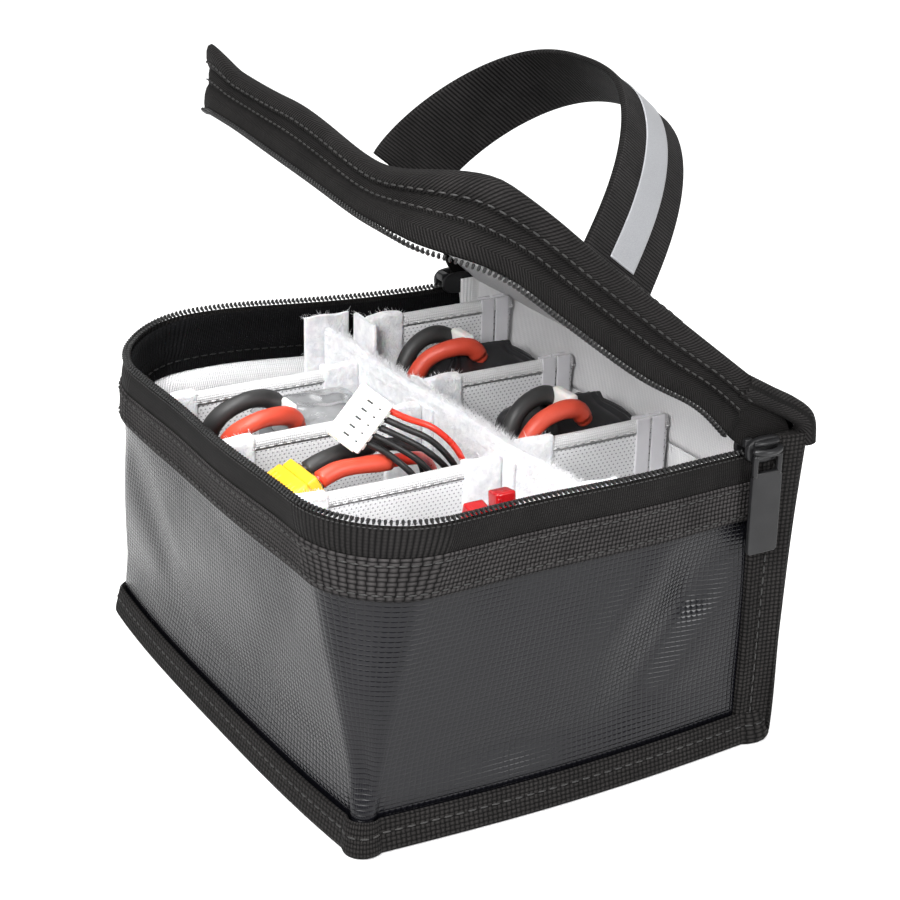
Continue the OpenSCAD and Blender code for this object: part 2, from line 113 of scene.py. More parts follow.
# ---- Node materials ----
class Shader:
    """A Principled material whose colour, roughness and bump come from short expressions."""

    def __init__(self, name, **sockets):
        self.material = bpy.data.materials.new(name)
        self.material.use_nodes = True
        self.tree = self.material.node_tree
        self.bsdf = self.tree.nodes["Principled BSDF"]
        for socket, value in sockets.items():
            self.bsdf.inputs[socket.replace("_", " ")].default_value = value

    def node(self, kind, **settings):
        made = self.tree.nodes.new(kind)
        for key, value in settings.items():
            setattr(made, key, value)
        return made

    @staticmethod
    def rgba(color):
        """A colour socket's value: a number is a grey, and a link stays as it is."""
        if isinstance(color, (int, float)):
            color = (color,) * 3
        return (*color, 1) if isinstance(color, tuple) else color

    def put(self, value, socket):
        if isinstance(value, bpy.types.NodeSocket):
            self.tree.links.new(value, socket)
        else:
            socket.default_value = value

    def math(self, operation, *values):
        made = self.node("ShaderNodeMath", operation=operation)
        for value, socket in zip(values, made.inputs):
            self.put(value, socket)
        return made.outputs[0]

    def add(self, a, b):
        return self.math("ADD", a, b)

    def minus(self, a, b):
        return self.math("SUBTRACT", a, b)

    def times(self, a, b):
        return self.math("MULTIPLY", a, b)

    def between(self, factor, dark, light):
        """A colour from dark to light over the middle of a noise's range."""
        return self.mix(self.spread(factor, 0.3, 0.7), dark, light)

    def flat(self, across=1.0, along=1.0):
        """The surface's own flat coordinates, in units of the two pitches."""
        read = self.node("ShaderNodeAttribute", attribute_name="flat")
        split = self.node("ShaderNodeSeparateXYZ")
        self.tree.links.new(read.outputs["Vector"], split.inputs[0])
        return (self.math("DIVIDE", split.outputs[0], across),
                self.math("DIVIDE", split.outputs[1], along))

    def noise(self, scale, detail=3.0):
        """Noise in object space; scale is per metre."""
        made = self.node("ShaderNodeTexNoise")
        place = self.node("ShaderNodeTexCoord")
        self.tree.links.new(place.outputs["Object"], made.inputs["Vector"])
        made.inputs["Scale"].default_value = scale
        made.inputs["Detail"].default_value = detail
        return made.outputs["Fac"]

    def spread(self, value, low, high, to_low=0.0, to_high=1.0):
        made = self.node("ShaderNodeMapRange")
        for item, socket in zip((value, low, high, to_low, to_high), made.inputs):
            self.put(item, socket)
        return made.outputs[0]

    def mix(self, factor, first, second):
        made = self.node("ShaderNodeMix", data_type="RGBA")
        self.put(factor, made.inputs["Factor"])
        self.put(self.rgba(first), made.inputs["A"])
        self.put(self.rgba(second), made.inputs["B"])
        return made.outputs["Result"]

    def finish(self, color=None, rough=None, height=None, depth=0.0003, strength=1.0):
        if color is not None:
            self.put(self.rgba(color), self.bsdf.inputs["Base Color"])
        if rough is not None:
            self.put(rough, self.bsdf.inputs["Roughness"])
        if height is not None:
            bump = self.node("ShaderNodeBump")
            bump.inputs["Strength"].default_value = strength
            bump.inputs["Distance"].default_value = depth
            self.put(height, bump.inputs["Height"])
            self.tree.links.new(bump.outputs[0], self.bsdf.inputs["Normal"])
        return self.material

    def wave(self, value):
        """0 at whole numbers and 1 halfway between them."""
        return self.math("ABSOLUTE", self.math("SINE", self.times(value, math.pi)))

    def plain_weave(self, u, v):
        """Height of a one-over-one weave with one yarn in each unit."""
        wu, wv = self.wave(u), self.wave(v)
        over = self.math("FLOORED_MODULO", self.add(self.math("FLOOR", u), self.math("FLOOR", v)), 2.0)
        warp = self.times(wu, self.spread(wv, 0, 1, 0.45, 1))
        weft = self.times(wv, self.spread(wu, 0, 1, 0.45, 1))
        made = self.node("ShaderNodeMix", data_type="FLOAT")
        self.put(over, made.inputs[0])
        self.put(warp, made.inputs[2])
        self.put(weft, made.inputs[3])
        return made.outputs[0]

    def holes(self, u, v, size):
        """1 inside small round holes in staggered rows."""
        row = self.math("FLOORED_MODULO", self.math("FLOOR", v), 2.0)
        du = self.minus(self.math("FRACT", self.add(u, self.times(row, 0.5))), 0.5)
        dv = self.minus(self.math("FRACT", v), 0.5)
        apart = self.math("SQRT", self.add(self.times(du, du), self.times(dv, dv)))
        return self.spread(apart, size, size * 1.8, 1, 0)


def coated_fabric():
    """Glossy coated ripstop: a fine square grid under a smooth film."""
    s = Shader("coated_fabric", Specular_IOR_Level=0.24)
    u, v = s.flat(1.45, 1.25)
    rib_u = s.math("POWER", s.wave(u), 0.55)
    rib_v = s.math("POWER", s.wave(v), 0.55)
    grid = s.math("MINIMUM", rib_u, rib_v)
    color = s.mix(s.spread(grid, 0.2, 0.9), (0.0012, 0.0012, 0.0018), (0.0045, 0.0045, 0.0062))
    rough = s.add(s.spread(s.noise(60, 4), 0.35, 0.7, 0.13, 0.24), s.spread(grid, 0, 1, 0.08, 0))
    cloudy = s.add(s.times(grid, 0.3), s.times(s.noise(20, 2), 6.0))
    return s.finish(color, rough, cloudy, 0.0005, 0.7)


def woven(name, pitch, dark, light, rough=0.75, depth=0.00035):
    """Coarse one-over-one weave: binding, rim webbing, linings and divider cloth."""
    s = Shader(name, Specular_IOR_Level=0.1)
    height = s.plain_weave(*s.flat(*pitch))
    # Colour follows the weave's height: painted shade in the hollows between yarns and painted light on their
    # crowns, with a random tone from the noise.
    fade = s.times(height, s.spread(s.noise(90, 4), 0.3, 0.7, 0.7, 1))
    return s.finish(s.mix(s.spread(fade, 0.1, 0.9), dark, light), s.spread(height, 0, 1, rough + 0.12, rough),
                    height, depth, 0.9)


def ribbed(name, pitch, dark, light, slant=0.0, zigzag=0.0, rough=0.7, depth=0.0003):
    """Ribs across the cloth, slanted for twill and zigzag for herringbone."""
    s = Shader(name, Specular_IOR_Level=0.1)
    u, v = s.flat(*pitch)
    if zigzag:
        lean = s.math("PINGPONG", v, zigzag)
    else:
        lean = s.times(v, slant)
    rib = s.wave(s.add(u, lean))
    yarn = s.spread(s.wave(s.times(v, 1.5)), 0, 1, 0.7, 1)
    height = s.times(rib, yarn)
    # Colour follows the ribs' height: painted shade in the hollows between ribs and yarns and painted light on
    # their crowns, with a random tone from the noise.
    fade = s.times(height, s.spread(s.noise(120, 4), 0.3, 0.7, 0.65, 1))
    return s.finish(s.mix(s.spread(fade, 0.1, 0.9), dark, light), s.spread(height, 0, 1, rough + 0.1, rough),
                    height, depth, 0.85)


def perforated(name, base, shade):
    """Divider cloth: a tight white weave with rows of small holes."""
    s = Shader(name, Sheen_Weight=0.15, Sheen_Roughness=0.5)
    u, v = s.flat(1.35, 1.0)
    hole = s.holes(u, v, 0.13)
    yarn = s.plain_weave(*s.flat(0.68, 0.5))
    height = s.minus(s.times(yarn, 0.5), hole)
    color = s.mix(s.times(hole, 0.75), base, shade)
    return s.finish(color, s.spread(s.noise(80), 0.3, 0.7, 0.55, 0.75), height, 0.0003, 0.6)


def pile(name, base, shade):
    """Brushed loop pile, clumped and soft."""
    s = Shader(name, Sheen_Weight=0.6, Sheen_Roughness=0.6, Subsurface_Weight=0.15, Subsurface_Scale=0.002)
    clump, fibre = s.noise(380, 5), s.noise(1900, 4)
    height = s.add(s.times(clump, 1.4), s.times(fibre, 0.6))
    color = s.mix(s.spread(clump, 0.3, 0.65), shade, base)
    return s.finish(color, s.spread(fibre, 0, 1, 0.8, 1), height, 0.0009, 0.6)


def moulded(name, dark, light, rough, grain=900, depth=0.00008, metallic=0.0, **sockets):
    """Plastic, silicone, wrap or painted metal with a fine grain and uneven gloss."""
    s = Shader(name, Metallic=metallic, **sockets)
    cloud, fine = s.noise(70, 3), s.noise(grain, 3)
    rough_out = s.add(s.spread(cloud, 0.3, 0.7, rough - 0.05, rough + 0.07),
                       s.spread(fine, 0.3, 0.7, -0.02, 0.03))
    return s.finish(s.between(cloud, dark, light), rough_out, fine, depth, 0.5)


def clear_film(name):
    s = Shader(name, Transmission_Weight=0.55, IOR=1.45, Coat_Weight=0.6, Coat_Roughness=0.06)
    cloud = s.noise(130, 4)
    return s.finish(s.between(cloud, (0.36, 0.37, 0.38), (0.66, 0.67, 0.68)),
                    s.spread(cloud, 0.3, 0.7, 0.12, 0.3), s.noise(220, 5), 0.0012, 0.5)


def reflective():
    s = Shader("reflective_tape", Metallic=0.35, Coat_Weight=0.2, Coat_Roughness=0.3)
    bead = s.noise(4200, 2)
    return s.finish(s.between(bead, (0.27, 0.275, 0.29), (0.35, 0.355, 0.37)),
                    s.spread(s.noise(60), 0.3, 0.7, 0.38, 0.5), bead, 0.00005, 0.4)


def floor_material():
    s = Shader("floor", Specular_IOR_Level=0.2, Emission_Color=(1, 1, 1, 1), Emission_Strength=0.5)
    return s.finish(s.mix(s.noise(8), 0.6, 0.63), 0.7)


MATERIALS = {
    "coated": coated_fabric(),
    "binding": woven("binding_cloth", (1.25, 1.15), (0.0006, 0.0005, 0.0005), (0.019, 0.0175, 0.017)),
    "rim_webbing": woven("rim_webbing", (1.3, 1.2), (0.001, 0.0009, 0.0009), (0.042, 0.039, 0.039)),
    "twill": ribbed("lid_twill", (1.05, 1.3), (0.0008, 0.0007, 0.0007), (0.0165, 0.0152, 0.015), slant=1.0),
    "herringbone": ribbed("herringbone_band", (0.85, 0.8), (0.0012, 0.0011, 0.0011), (0.0125, 0.0115, 0.0112),
                          zigzag=4.0),
    "zip_tape": ribbed("zip_tape_cloth", (0.7, 1.2), (0.0012, 0.0011, 0.0011), (0.013, 0.012, 0.0118)),
    "inner_black": ribbed("inner_band_cloth", (0.8, 1.1), (0.0008, 0.0008, 0.001), (0.003, 0.003, 0.0035),
                          rough=0.85),
    "lining": ribbed("grey_lining_cloth", (0.7, 0.95), (0.72, 0.715, 0.725), (0.93, 0.925, 0.93), rough=0.45),
    "webbing": ribbed("handle_ribs", (1.15, 1.0), 0.0006, (0.02, 0.0185, 0.0185), depth=0.0004),
    "divider": perforated("divider_cloth", (0.8, 0.8, 0.81), (0.12, 0.12, 0.14)),
    "smooth_white": woven("bound_edge", (0.6, 0.6), (0.7, 0.7, 0.71), 0.88, 0.6, 0.0002),
    "pile": pile("loop_pile", (0.86, 0.86, 0.87), (0.66, 0.66, 0.69)),
    "fibre": moulded("pile_fibre", (0.74, 0.74, 0.76), (0.88, 0.88, 0.89), 0.75, Sheen_Weight=0.3),
    "hook": moulded("hook_strip", (0.78, 0.77, 0.8), (0.88, 0.87, 0.9), 0.35, Transmission_Weight=0.2),
    "thread": moulded("black_thread", 0.004, (0.016, 0.015, 0.014), 0.6),
    "white_thread": moulded("white_thread", 0.6, 0.8, 0.6),
    "coil": moulded("coil_nylon", 0.004, 0.011, 0.45, Specular_IOR_Level=0.3),
    "metal": moulded("black_zip_metal", (0.007, 0.007, 0.0075), (0.018, 0.018, 0.019), 0.34, 1400, 0.00004,
                     metallic=0.1, Specular_IOR_Level=0.25),
    "insulation": moulded("insulation_felt", (0.6, 0.6, 0.58), (0.78, 0.78, 0.76), 0.9, 600, 0.0006),
    "stripe": reflective(),
    "wrap": moulded("shrink_wrap", (0.008, 0.008, 0.009), (0.02, 0.02, 0.022), 0.36, 260, 0.0003,
                    Coat_Weight=0.15),
    "clear": clear_film("clear_wrap"),
    "grey_cell": moulded("grey_cell", (0.2, 0.21, 0.22), (0.3, 0.31, 0.32), 0.4, 200, 0.0003),
    "black_lead": moulded("black_silicone", 0.006, 0.016, 0.42),
    "black_sleeve": moulded("black_sleeve", 0.012, 0.03, 0.5, 500),
    "red_lead": moulded("red_silicone", (0.6, 0.02, 0.008), (0.72, 0.035, 0.015), 0.3, Coat_Weight=0.3,
                        Subsurface_Weight=0.1, Subsurface_Scale=0.001),
    "red_sleeve": moulded("red_sleeve", (0.5, 0.045, 0.02), (0.62, 0.07, 0.035), 0.45, 500),
    "yellow": moulded("yellow_nylon", (0.8, 0.43, 0.012), (0.9, 0.52, 0.03), 0.4, Subsurface_Weight=0.1,
                      Subsurface_Scale=0.001),
    "white_plastic": moulded("white_nylon", (0.8, 0.79, 0.75), (0.87, 0.86, 0.83), 0.35, Subsurface_Weight=0.15,
                             Subsurface_Scale=0.001),
    # Dark blocks on the balance plug stand for its slot openings: painted shade.
    "slot_shade": moulded("plug_slot_painted_shade", 0.03, 0.07, 0.7),
    "red_plastic": moulded("red_clear_plastic", (0.45, 0.004, 0.008), (0.6, 0.012, 0.015), 0.15,
                           Transmission_Weight=0.25, Coat_Weight=0.5),
    "gold": moulded("gold_contact", (0.75, 0.5, 0.15), (0.85, 0.6, 0.25), 0.25, metallic=1.0),
}


# ---- Mesh helpers ----
def mesh(name, points, faces, material, flat=None, smooth=True):
    """A mesh object from points in millimetres."""
    data = bpy.data.meshes.new(name)
    data.from_pydata((np.asarray(points, float) * MM).tolist(), [], faces)
    data.validate()
    data.materials.append(MATERIALS[material])
    if smooth:
        data.shade_smooth()
    if flat is not None:
        attribute = data.attributes.new("flat", "FLOAT_VECTOR", "POINT")
        full = np.zeros((len(points), 3), np.float32)
        full[:, :2] = np.asarray(flat, float).reshape(-1, 2)
        attribute.data.foreach_set("vector", full.ravel())
    made = bpy.data.objects.new(name, data)
    bpy.context.scene.collection.objects.link(made)
    return made


def grid_faces(rows, columns, round_rows=False, round_columns=False):
    """Quads of a grid of points stored row by row."""
    faces = []
    for i in range(rows if round_rows else rows - 1):
        for j in range(columns if round_columns else columns - 1):
            a, b = i * columns + j, i * columns + (j + 1) % columns
            below = (i + 1) % rows
            c, d = below * columns + (j + 1) % columns, below * columns + j
            faces.append([a, b, c, d])
    return faces


def surface(name, grid, flat, material, round_rows=True, round_columns=False, caps=True):
    """A mesh from a grid of points; caps close the two ends of a section that is round in rows."""
    grid = np.array(grid)
    rows, columns = grid.shape[:2]
    faces = grid_faces(rows, columns, round_rows, round_columns)
    if caps:
        faces.append([i * columns for i in range(rows)])
        faces.append([i * columns + columns - 1 for i in range(rows - 1, -1, -1)])
    return mesh(name, grid.reshape(-1, 3), faces, material, np.array(flat))


def capped(name, rings, flat, material):
    """A mesh from a stack of closed rings, with its two end rings filled."""
    n, around = len(rings), len(rings[0])
    return mesh(name, np.vstack(rings), grid_faces(n, around, False, True) + ends_of(n, around), material,
                np.array(flat))


def ends_of(n, around):
    return [list(range(around))[::-1], [(n - 1) * around + k for k in range(around)]]


def own(piece, body, slot, *nodes, fold=None, fill=None):
    """Parents a finished piece to its body, or with fold given bakes its place into its points instead, and hides
    its CAD nodes. Its slot and fill are not used.
    """
    if fold:
        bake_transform(piece)
    else:
        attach(piece, body)
    if nodes:
        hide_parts(*nodes)
    return piece


columns_of = np.column_stack


def smooth_step(x):
    x = np.clip(x, 0, 1)
    return x * x * (3 - 2 * x)


def curve_through(route, steps):
    """Smooth curve through the route's points, with that many steps for each stretch."""
    p = np.asarray(route, float)
    p = np.vstack([2 * p[0] - p[1], p, 2 * p[-1] - p[-2]])
    out = []
    for i in range(1, len(p) - 2):
        for t in np.arange(steps) / steps:
            a, b, c, d = p[i - 1:i + 3]
            out.append(0.5 * (2 * b + (c - a) * t + (2 * a - 5 * b + 4 * c - d) * t**2
                              + (3 * b - a - 3 * c + d) * t**3))
    out.append(p[-2])
    return np.array(out)


def lengths(path):
    """Distance of each point along the path."""
    step = np.linalg.norm(np.diff(path, axis=0), axis=1)
    return np.concatenate([[0], np.cumsum(step)])


def tube(name, path, radius, material, sides=14):
    """A round tube along the path; radius is a number or one for each point."""
    path = np.asarray(path, float)
    n = len(path)
    radius = np.broadcast_to(np.asarray(radius, float), n)
    heading = np.gradient(path, axis=0)
    heading /= np.linalg.norm(heading, axis=1)[:, None]
    side = np.array([1.0, 0.03, 0.02])
    s = lengths(path)
    grid, flat = [], []
    for i in range(n):
        side = side - heading[i] * (side @ heading[i])
        side /= np.linalg.norm(side)
        other = np.cross(heading[i], side)
        turn = np.arange(sides) * 2 * math.pi / sides
        grid.append(path[i] + radius[i] * (np.outer(np.cos(turn), side) + np.outer(np.sin(turn), other)))
        flat.append(columns_of([turn * radius[i], np.full(sides, s[i])]))
    return capped(name, grid, flat, material)


def taken(bm):
    """Points and faces of a bmesh, which is then freed."""
    bm.verts.index_update()
    points, faces = np.array([v.co for v in bm.verts]), [[v.index for v in f.verts] for f in bm.faces]
    bm.free()
    return points, faces


def rounded_block(name, size, material, edge=0.8, at=(0, 0, 0), turn=None, wave=None):
    """A block with rounded edges whose faces are finely divided; wave(points) may bend it."""
    w, d, h = size
    cuts = max(2, int(max(size) / 1.6)) // 4 + 1
    bm = bmesh.new()
    bmesh.ops.create_cube(bm, size=1)
    bmesh.ops.scale(bm, vec=(w, d, h), verts=bm.verts)
    bmesh.ops.bevel(bm, geom=list(bm.edges), offset=edge, segments=3, profile=0.6, affect="EDGES")
    long = [e for e in bm.edges if e.calc_length() > 3 * edge + 1.2]
    if long:
        bmesh.ops.subdivide_edges(bm, edges=long, cuts=cuts, use_grid_fill=True)
    points, faces = taken(bm)
    if wave:
        points = wave(points)
    flat = columns_of([points[:, 0] + points[:, 1], points[:, 2]])
    if turn is not None:
        points = points @ np.asarray(turn, float).T
    return mesh(name, points + np.asarray(at, float), faces, material, flat)


def joined(name, pieces):
    """One mesh of several, with their materials kept."""
    with bpy.context.temp_override(active_object=pieces[0], selected_editable_objects=pieces):
        bpy.ops.object.join()
    pieces[0].name = name
    pieces[0].data.name = name
    return pieces[0]


def beads(name, places, along, up, size, material, body, slot=None, nodes=(), fold=None):
    """Small rounded bars, such as stitches or teeth: one at each place, turned along and up."""
    rings, around = 5, 8
    length, width, height = size
    unit = []
    for i in range(rings):
        a = math.pi * (i + 0.5) / rings
        for k in range(around):
            b = 2 * math.pi * k / around
            unit.append((-math.cos(a) * length / 2, math.sin(a)**0.6 * math.cos(b) * width / 2,
                         math.sin(a)**0.6 * math.sin(b) * height / 2))
    unit = np.array(unit)
    cell = grid_faces(rings, around, False, True) + ends_of(rings, around)
    points, faces = [], []
    for p, a, u in zip(places, along, up):
        a = a / np.linalg.norm(a)
        side = np.cross(u, a)
        side /= np.linalg.norm(side)
        top = np.cross(a, side)
        start = len(points) * len(unit)
        points.append(p + unit @ np.array([a, side, top]))
        faces += [[start + k for k in face] for face in cell]
    made = mesh(name, np.vstack(points), faces, material)
    return own(made, body, slot, *nodes, fold=fold)


def spaced(path, normals, pitch):
    """Places at even distances along a path, with their headings and normals."""
    s = lengths(path)
    at = np.arange(pitch / 2, s[-1], pitch)
    places = columns_of([np.interp(at, s, path[:, k]) for k in range(3)])
    ups = columns_of([np.interp(at, s, normals[:, k]) for k in range(3)])
    ahead = columns_of([np.interp(at + 0.3, s, path[:, k]) for k in range(3)])
    back = columns_of([np.interp(at - 0.3, s, path[:, k]) for k in range(3)])
    ups /= np.linalg.norm(ups, axis=1)[:, None]
    return places, ahead - back, ups


def stitches(name, line, normal, pitch, size, material="thread", body="bag", slot="black_webbing"):
    """A row of stitches at even distances along a line."""
    return beads(name, *spaced(line, normal, pitch), size, material, body, slot)


FIBRE_W = 0.09


def fuzz(name, points, normals, count, length, seed, spread=0.7):
    """Loose fibres that stand out of a pile: thin bent ribbons on given points."""
    rng = random.Random(seed)
    out, faces = [], []
    for _ in range(count):
        k = rng.randrange(len(points))
        lean = np.array([rng.uniform(-1, 1) for _ in range(3)]) * spread
        way = normals[k] + lean
        way /= np.linalg.norm(way)
        bend = np.array([rng.uniform(-1, 1) for _ in range(3)]) * 0.5
        side = np.cross(way, bend)
        side *= FIBRE_W / 2 / max(np.linalg.norm(side), 1e-6)
        size = length * rng.uniform(0.35, 1)
        jitter = np.array([rng.uniform(-0.4, 0.4) for _ in range(3)])
        root = points[k] + jitter - normals[k] * 0.3
        start = len(out)
        for i, t in enumerate((0, 0.5, 1)):
            p = root + way * size * t + bend * size * 0.5 * t * t
            w = side * (1, 0.8, 0.25)[i]
            out += [p - w, p + w]
        faces += [[start, start + 1, start + 3, start + 2], [start + 2, start + 3, start + 5, start + 4]]
    return own(mesh(name, out, faces, "fibre", smooth=False), "bag", "white_loop_pile")


# ---- Shape of the bag, from the frame's boxes ----
FOOT = cad("bottom_binding")
WIDTH, DEPTH = FOOT[1][0] - FOOT[0][0], FOOT[1][1] - FOOT[0][1]
BINDING_H = FOOT[1][2]
RIM = cad("lower_zip_teeth")[1][2] + 0.2
BAND = (cad("rim_band")[0][2], cad("rim_band")[1][2])
TAPE_TOP = cad("lower_zip_tape")[1][2]
INNER_TOP = cad("wall_lining")[1][2]
# How far the walls stand in from the binding's outside at the floor, and lean out up to the rim
WALL_IN, FRONT_IN = 3.5, 1.9
SIDE_FLARE, FRONT_FLARE, BACK_FLARE = 2.2, 6.5, 4
# Radius of the front corners at the floor, and what the rim adds to it; and of the rear corners
FRONT_R, RIM_R = 2.6, 27.4
BACK_R = 5.5
SPLIT_Y = 52.0
PIVOT_Y = 42.0
HINGE_EDGE = (62.4, 89.4)
SLIDER_Y = 51.5
TOOTH_PITCH = 1.35
SIDE_N, ARC_N, FRONT_N, BACK_N = 44, 16, 60, 60


def half_w(z):
    return WIDTH / 2 - WALL_IN + SIDE_FLARE * z / RIM


def front_y(z):
    return -(DEPTH / 2 - FRONT_IN + FRONT_FLARE * z / RIM)


def back_y(z):
    return DEPTH / 2 - WALL_IN + BACK_FLARE * z / RIM


def outline(w, front, back, rf, rb, closed, y_end):
    """Points and outward normals from the left rear round the front to the right rear, or all round."""
    def line(a, b, n, normal, last=False):
        t = np.arange(n + (1 if last else 0)) / n
        return [(a[0] + (b[0] - a[0]) * k, a[1] + (b[1] - a[1]) * k, *normal) for k in t]

    def corner(cx, cy, r, start, n=ARC_N):
        turn = np.radians(start + 90 * np.arange(n) / n)
        return [(cx + r * math.cos(a), cy + r * math.sin(a), math.cos(a), math.sin(a)) for a in turn]

    y_end = back - rb if closed else y_end
    points = line((-w, y_end), (-w, front + rf), SIDE_N, (-1, 0))
    points += corner(-w + rf, front + rf, rf, 180)
    points += line((-w + rf, front), (w - rf, front), FRONT_N, (0, -1))
    points += corner(w - rf, front + rf, rf, 270)
    points += line((w, front + rf), (w, y_end), SIDE_N, (1, 0), not closed)
    if closed:
        points += corner(w - rb, back - rb, rb, 0, 8)
        points += line((w - rb, back), (-w + rb, back), BACK_N, (0, 1))
        points += corner(-w + rb, back - rb, rb, 90, 8)
    return np.array(points)


def bag_outline(z, out=0.0, closed=False, y_end=SPLIT_Y):
    rf = max(FRONT_R + RIM_R * max(z / RIM, 0)**1.45 + out, 0.5)
    rb = max(BACK_R + out, 0.4)
    return outline(half_w(z) + out, front_y(z) - out, back_y(z) + out, rf, rb, closed, y_end)


def crease(a, z, start, end, wide, deep):
    """A soft valley along a line on a wall, fading out at its ends."""
    start, end = np.array(start, float), np.array(end, float)
    run = end - start
    t = ((a - start[0]) * run[0] + (z - start[1]) * run[1]) / (run @ run)
    off = np.abs((a - start[0]) * run[1] - (z - start[1]) * run[0]) / math.sqrt(run @ run)
    fade = np.clip(np.minimum(t + 0.25, 1.25 - t) * 2.5, 0, 1)
    return -deep * np.exp(-(off / wide)**2) * smooth_step(fade)


# The walls bulge between these heights, and the left rim is held higher than the right
BELLY_LOW, BELLY_HIGH = 6, 68
LEFT_RIM_LIFT = 3.8


def creases(a, z, *valleys):
    """Several creases, each a start, an end, a width and a depth, which is below 0 for a ridge."""
    return sum(crease(a, z, *valley) for valley in valleys)


def sag(p, z):
    """How far the soft wall stands out from its straight outline, in millimetres."""
    x, y, nx, ny = p.T
    right, left = np.clip(nx, 0, 1)**2, np.clip(-nx, 0, 1)**2
    front, rear = np.clip(-ny, 0, 1)**2, np.clip(ny, 0, 1)**2
    height = min(max((z - BELLY_LOW) / (BELLY_HIGH - BELLY_LOW), 0), 1)
    belly = math.sin(math.pi * height)**0.7 if height < 1 else 0
    across_y = np.cos(np.clip((y + 2) / 60, -1, 1) * math.pi / 2)
    across_x = np.cos(np.clip(x / 76, -1, 1) * math.pi / 2)
    near_foot = smooth_step((30 - z) / 30)
    on_right = 1.9 * across_y**0.8 + creases(
        y, z, ((47, 66), (16, 24), 7.5, 2.4), ((30, 62), (34, 44), 6, 1.4), ((30, 70), (6, 40), 6, -0.9),
        ((-30, 18), (20, 14), 5, 0.8))
    on_left = 1.7 * across_y + creases(y, z, ((38, 60), (10, 30), 7, 1.6), ((-30, 20), (10, 26), 7, 1.0))
    on_front = 2.1 * across_x**0.8 + creases(
        x, z, ((52, 62), (20, 22), 8, 1.5), ((-58, 60), (-25, 20), 8, 1.4), ((-10, 16), (36, 12), 5, 0.8))
    on_rear = 1.6 * across_x + creases(x, z, ((-40, 66), (-10, 30), 8, 1.2), ((45, 60), (20, 24), 8, 1.2))
    rear_foot = near_foot * (6.0 * np.clip(ny, 0, 1) * np.abs(nx) + rear)
    near_corner, far_corner = (np.clip(way * nx, 0, 1) * np.clip(-ny, 0, 1) * 2 for way in (1, -1))
    corner = -2.2 * near_corner**3 * (0.6 + 0.4 * math.sin(z / 9)) - 1.2 * far_corner**3
    push = belly * (right * on_right + left * on_left + front * on_front + rear * on_rear + corner)
    rim = smooth_step((z - 58) / 14)
    ripple = 0.5 * np.sin(x / 11 + 0.6) * front + 0.45 * np.sin(y / 9.5) * (right + left)
    out_left = 2.6 * left * np.exp(-((y + 12) / 28)**2) * smooth_step((z - 40) / 34)
    foot = smooth_step((22 - z) / 16) * (3.8 * front * (1 - np.abs(np.clip(x / 84, -1, 1))**3)
                                         + (2.8 * right + 1.2 * left) * across_y + 2.2 * near_corner)
    return push + rim * ripple + out_left + foot + rear_foot


def soft_points(p, z):
    """The outline's points at height z as the soft cloth really holds them."""
    push = sag(p, z)
    x, y, nx, ny = p.T
    lift = LEFT_RIM_LIFT * smooth_step((-x - 30) / 40) * np.exp(-((y + 34) / 34)**2) * smooth_step((z - 40) / 34)
    return columns_of([x + nx * push, y + ny * push, z + lift])


def flat_of(line, section):
    """Flat coordinates of a section of points swept along a line."""
    return np.stack(np.meshgrid(lengths(line[:, :2]), lengths(np.array(section))), -1)


def bag_grid(section, closed=False, y_end=SPLIT_Y):
    """Points and flat coordinates of a section of (out, z) swept round the bag."""
    grid = np.array([soft_points(bag_outline(z, out, closed, y_end), z) for out, z in section])
    return grid, flat_of(bag_outline(45, 0, closed, y_end), section)


def bag_sweep(name, section, material, body, slot, *nodes, closed=False, y_end=SPLIT_Y, fill=None):
    grid, flat = bag_grid(section, closed, y_end)
    made = surface(name, grid, flat, material, round_columns=closed, caps=not closed)
    return own(made, body, slot, *nodes)


def ladder(out_a, out_b, z0, z1, steps=4, inner_steps=3):
    """Section of a wall from z0 up to z1 outside, and down again inside."""
    up = [(out_a, z0 + (z1 - z0) * i / steps) for i in range(steps + 1)]
    down = [(out_b, z1 + (z0 - z1) * i / inner_steps) for i in range(inner_steps + 1)]
    return up + down


def on_bag(out, z, y_end=SPLIT_Y, closed=False):
    """A line round the bag at one height, with its normals, for stitches and teeth."""
    p = bag_outline(z, out, closed, y_end)
    return soft_points(p, z), columns_of([p[:, 2], p[:, 3], np.zeros(len(p))])


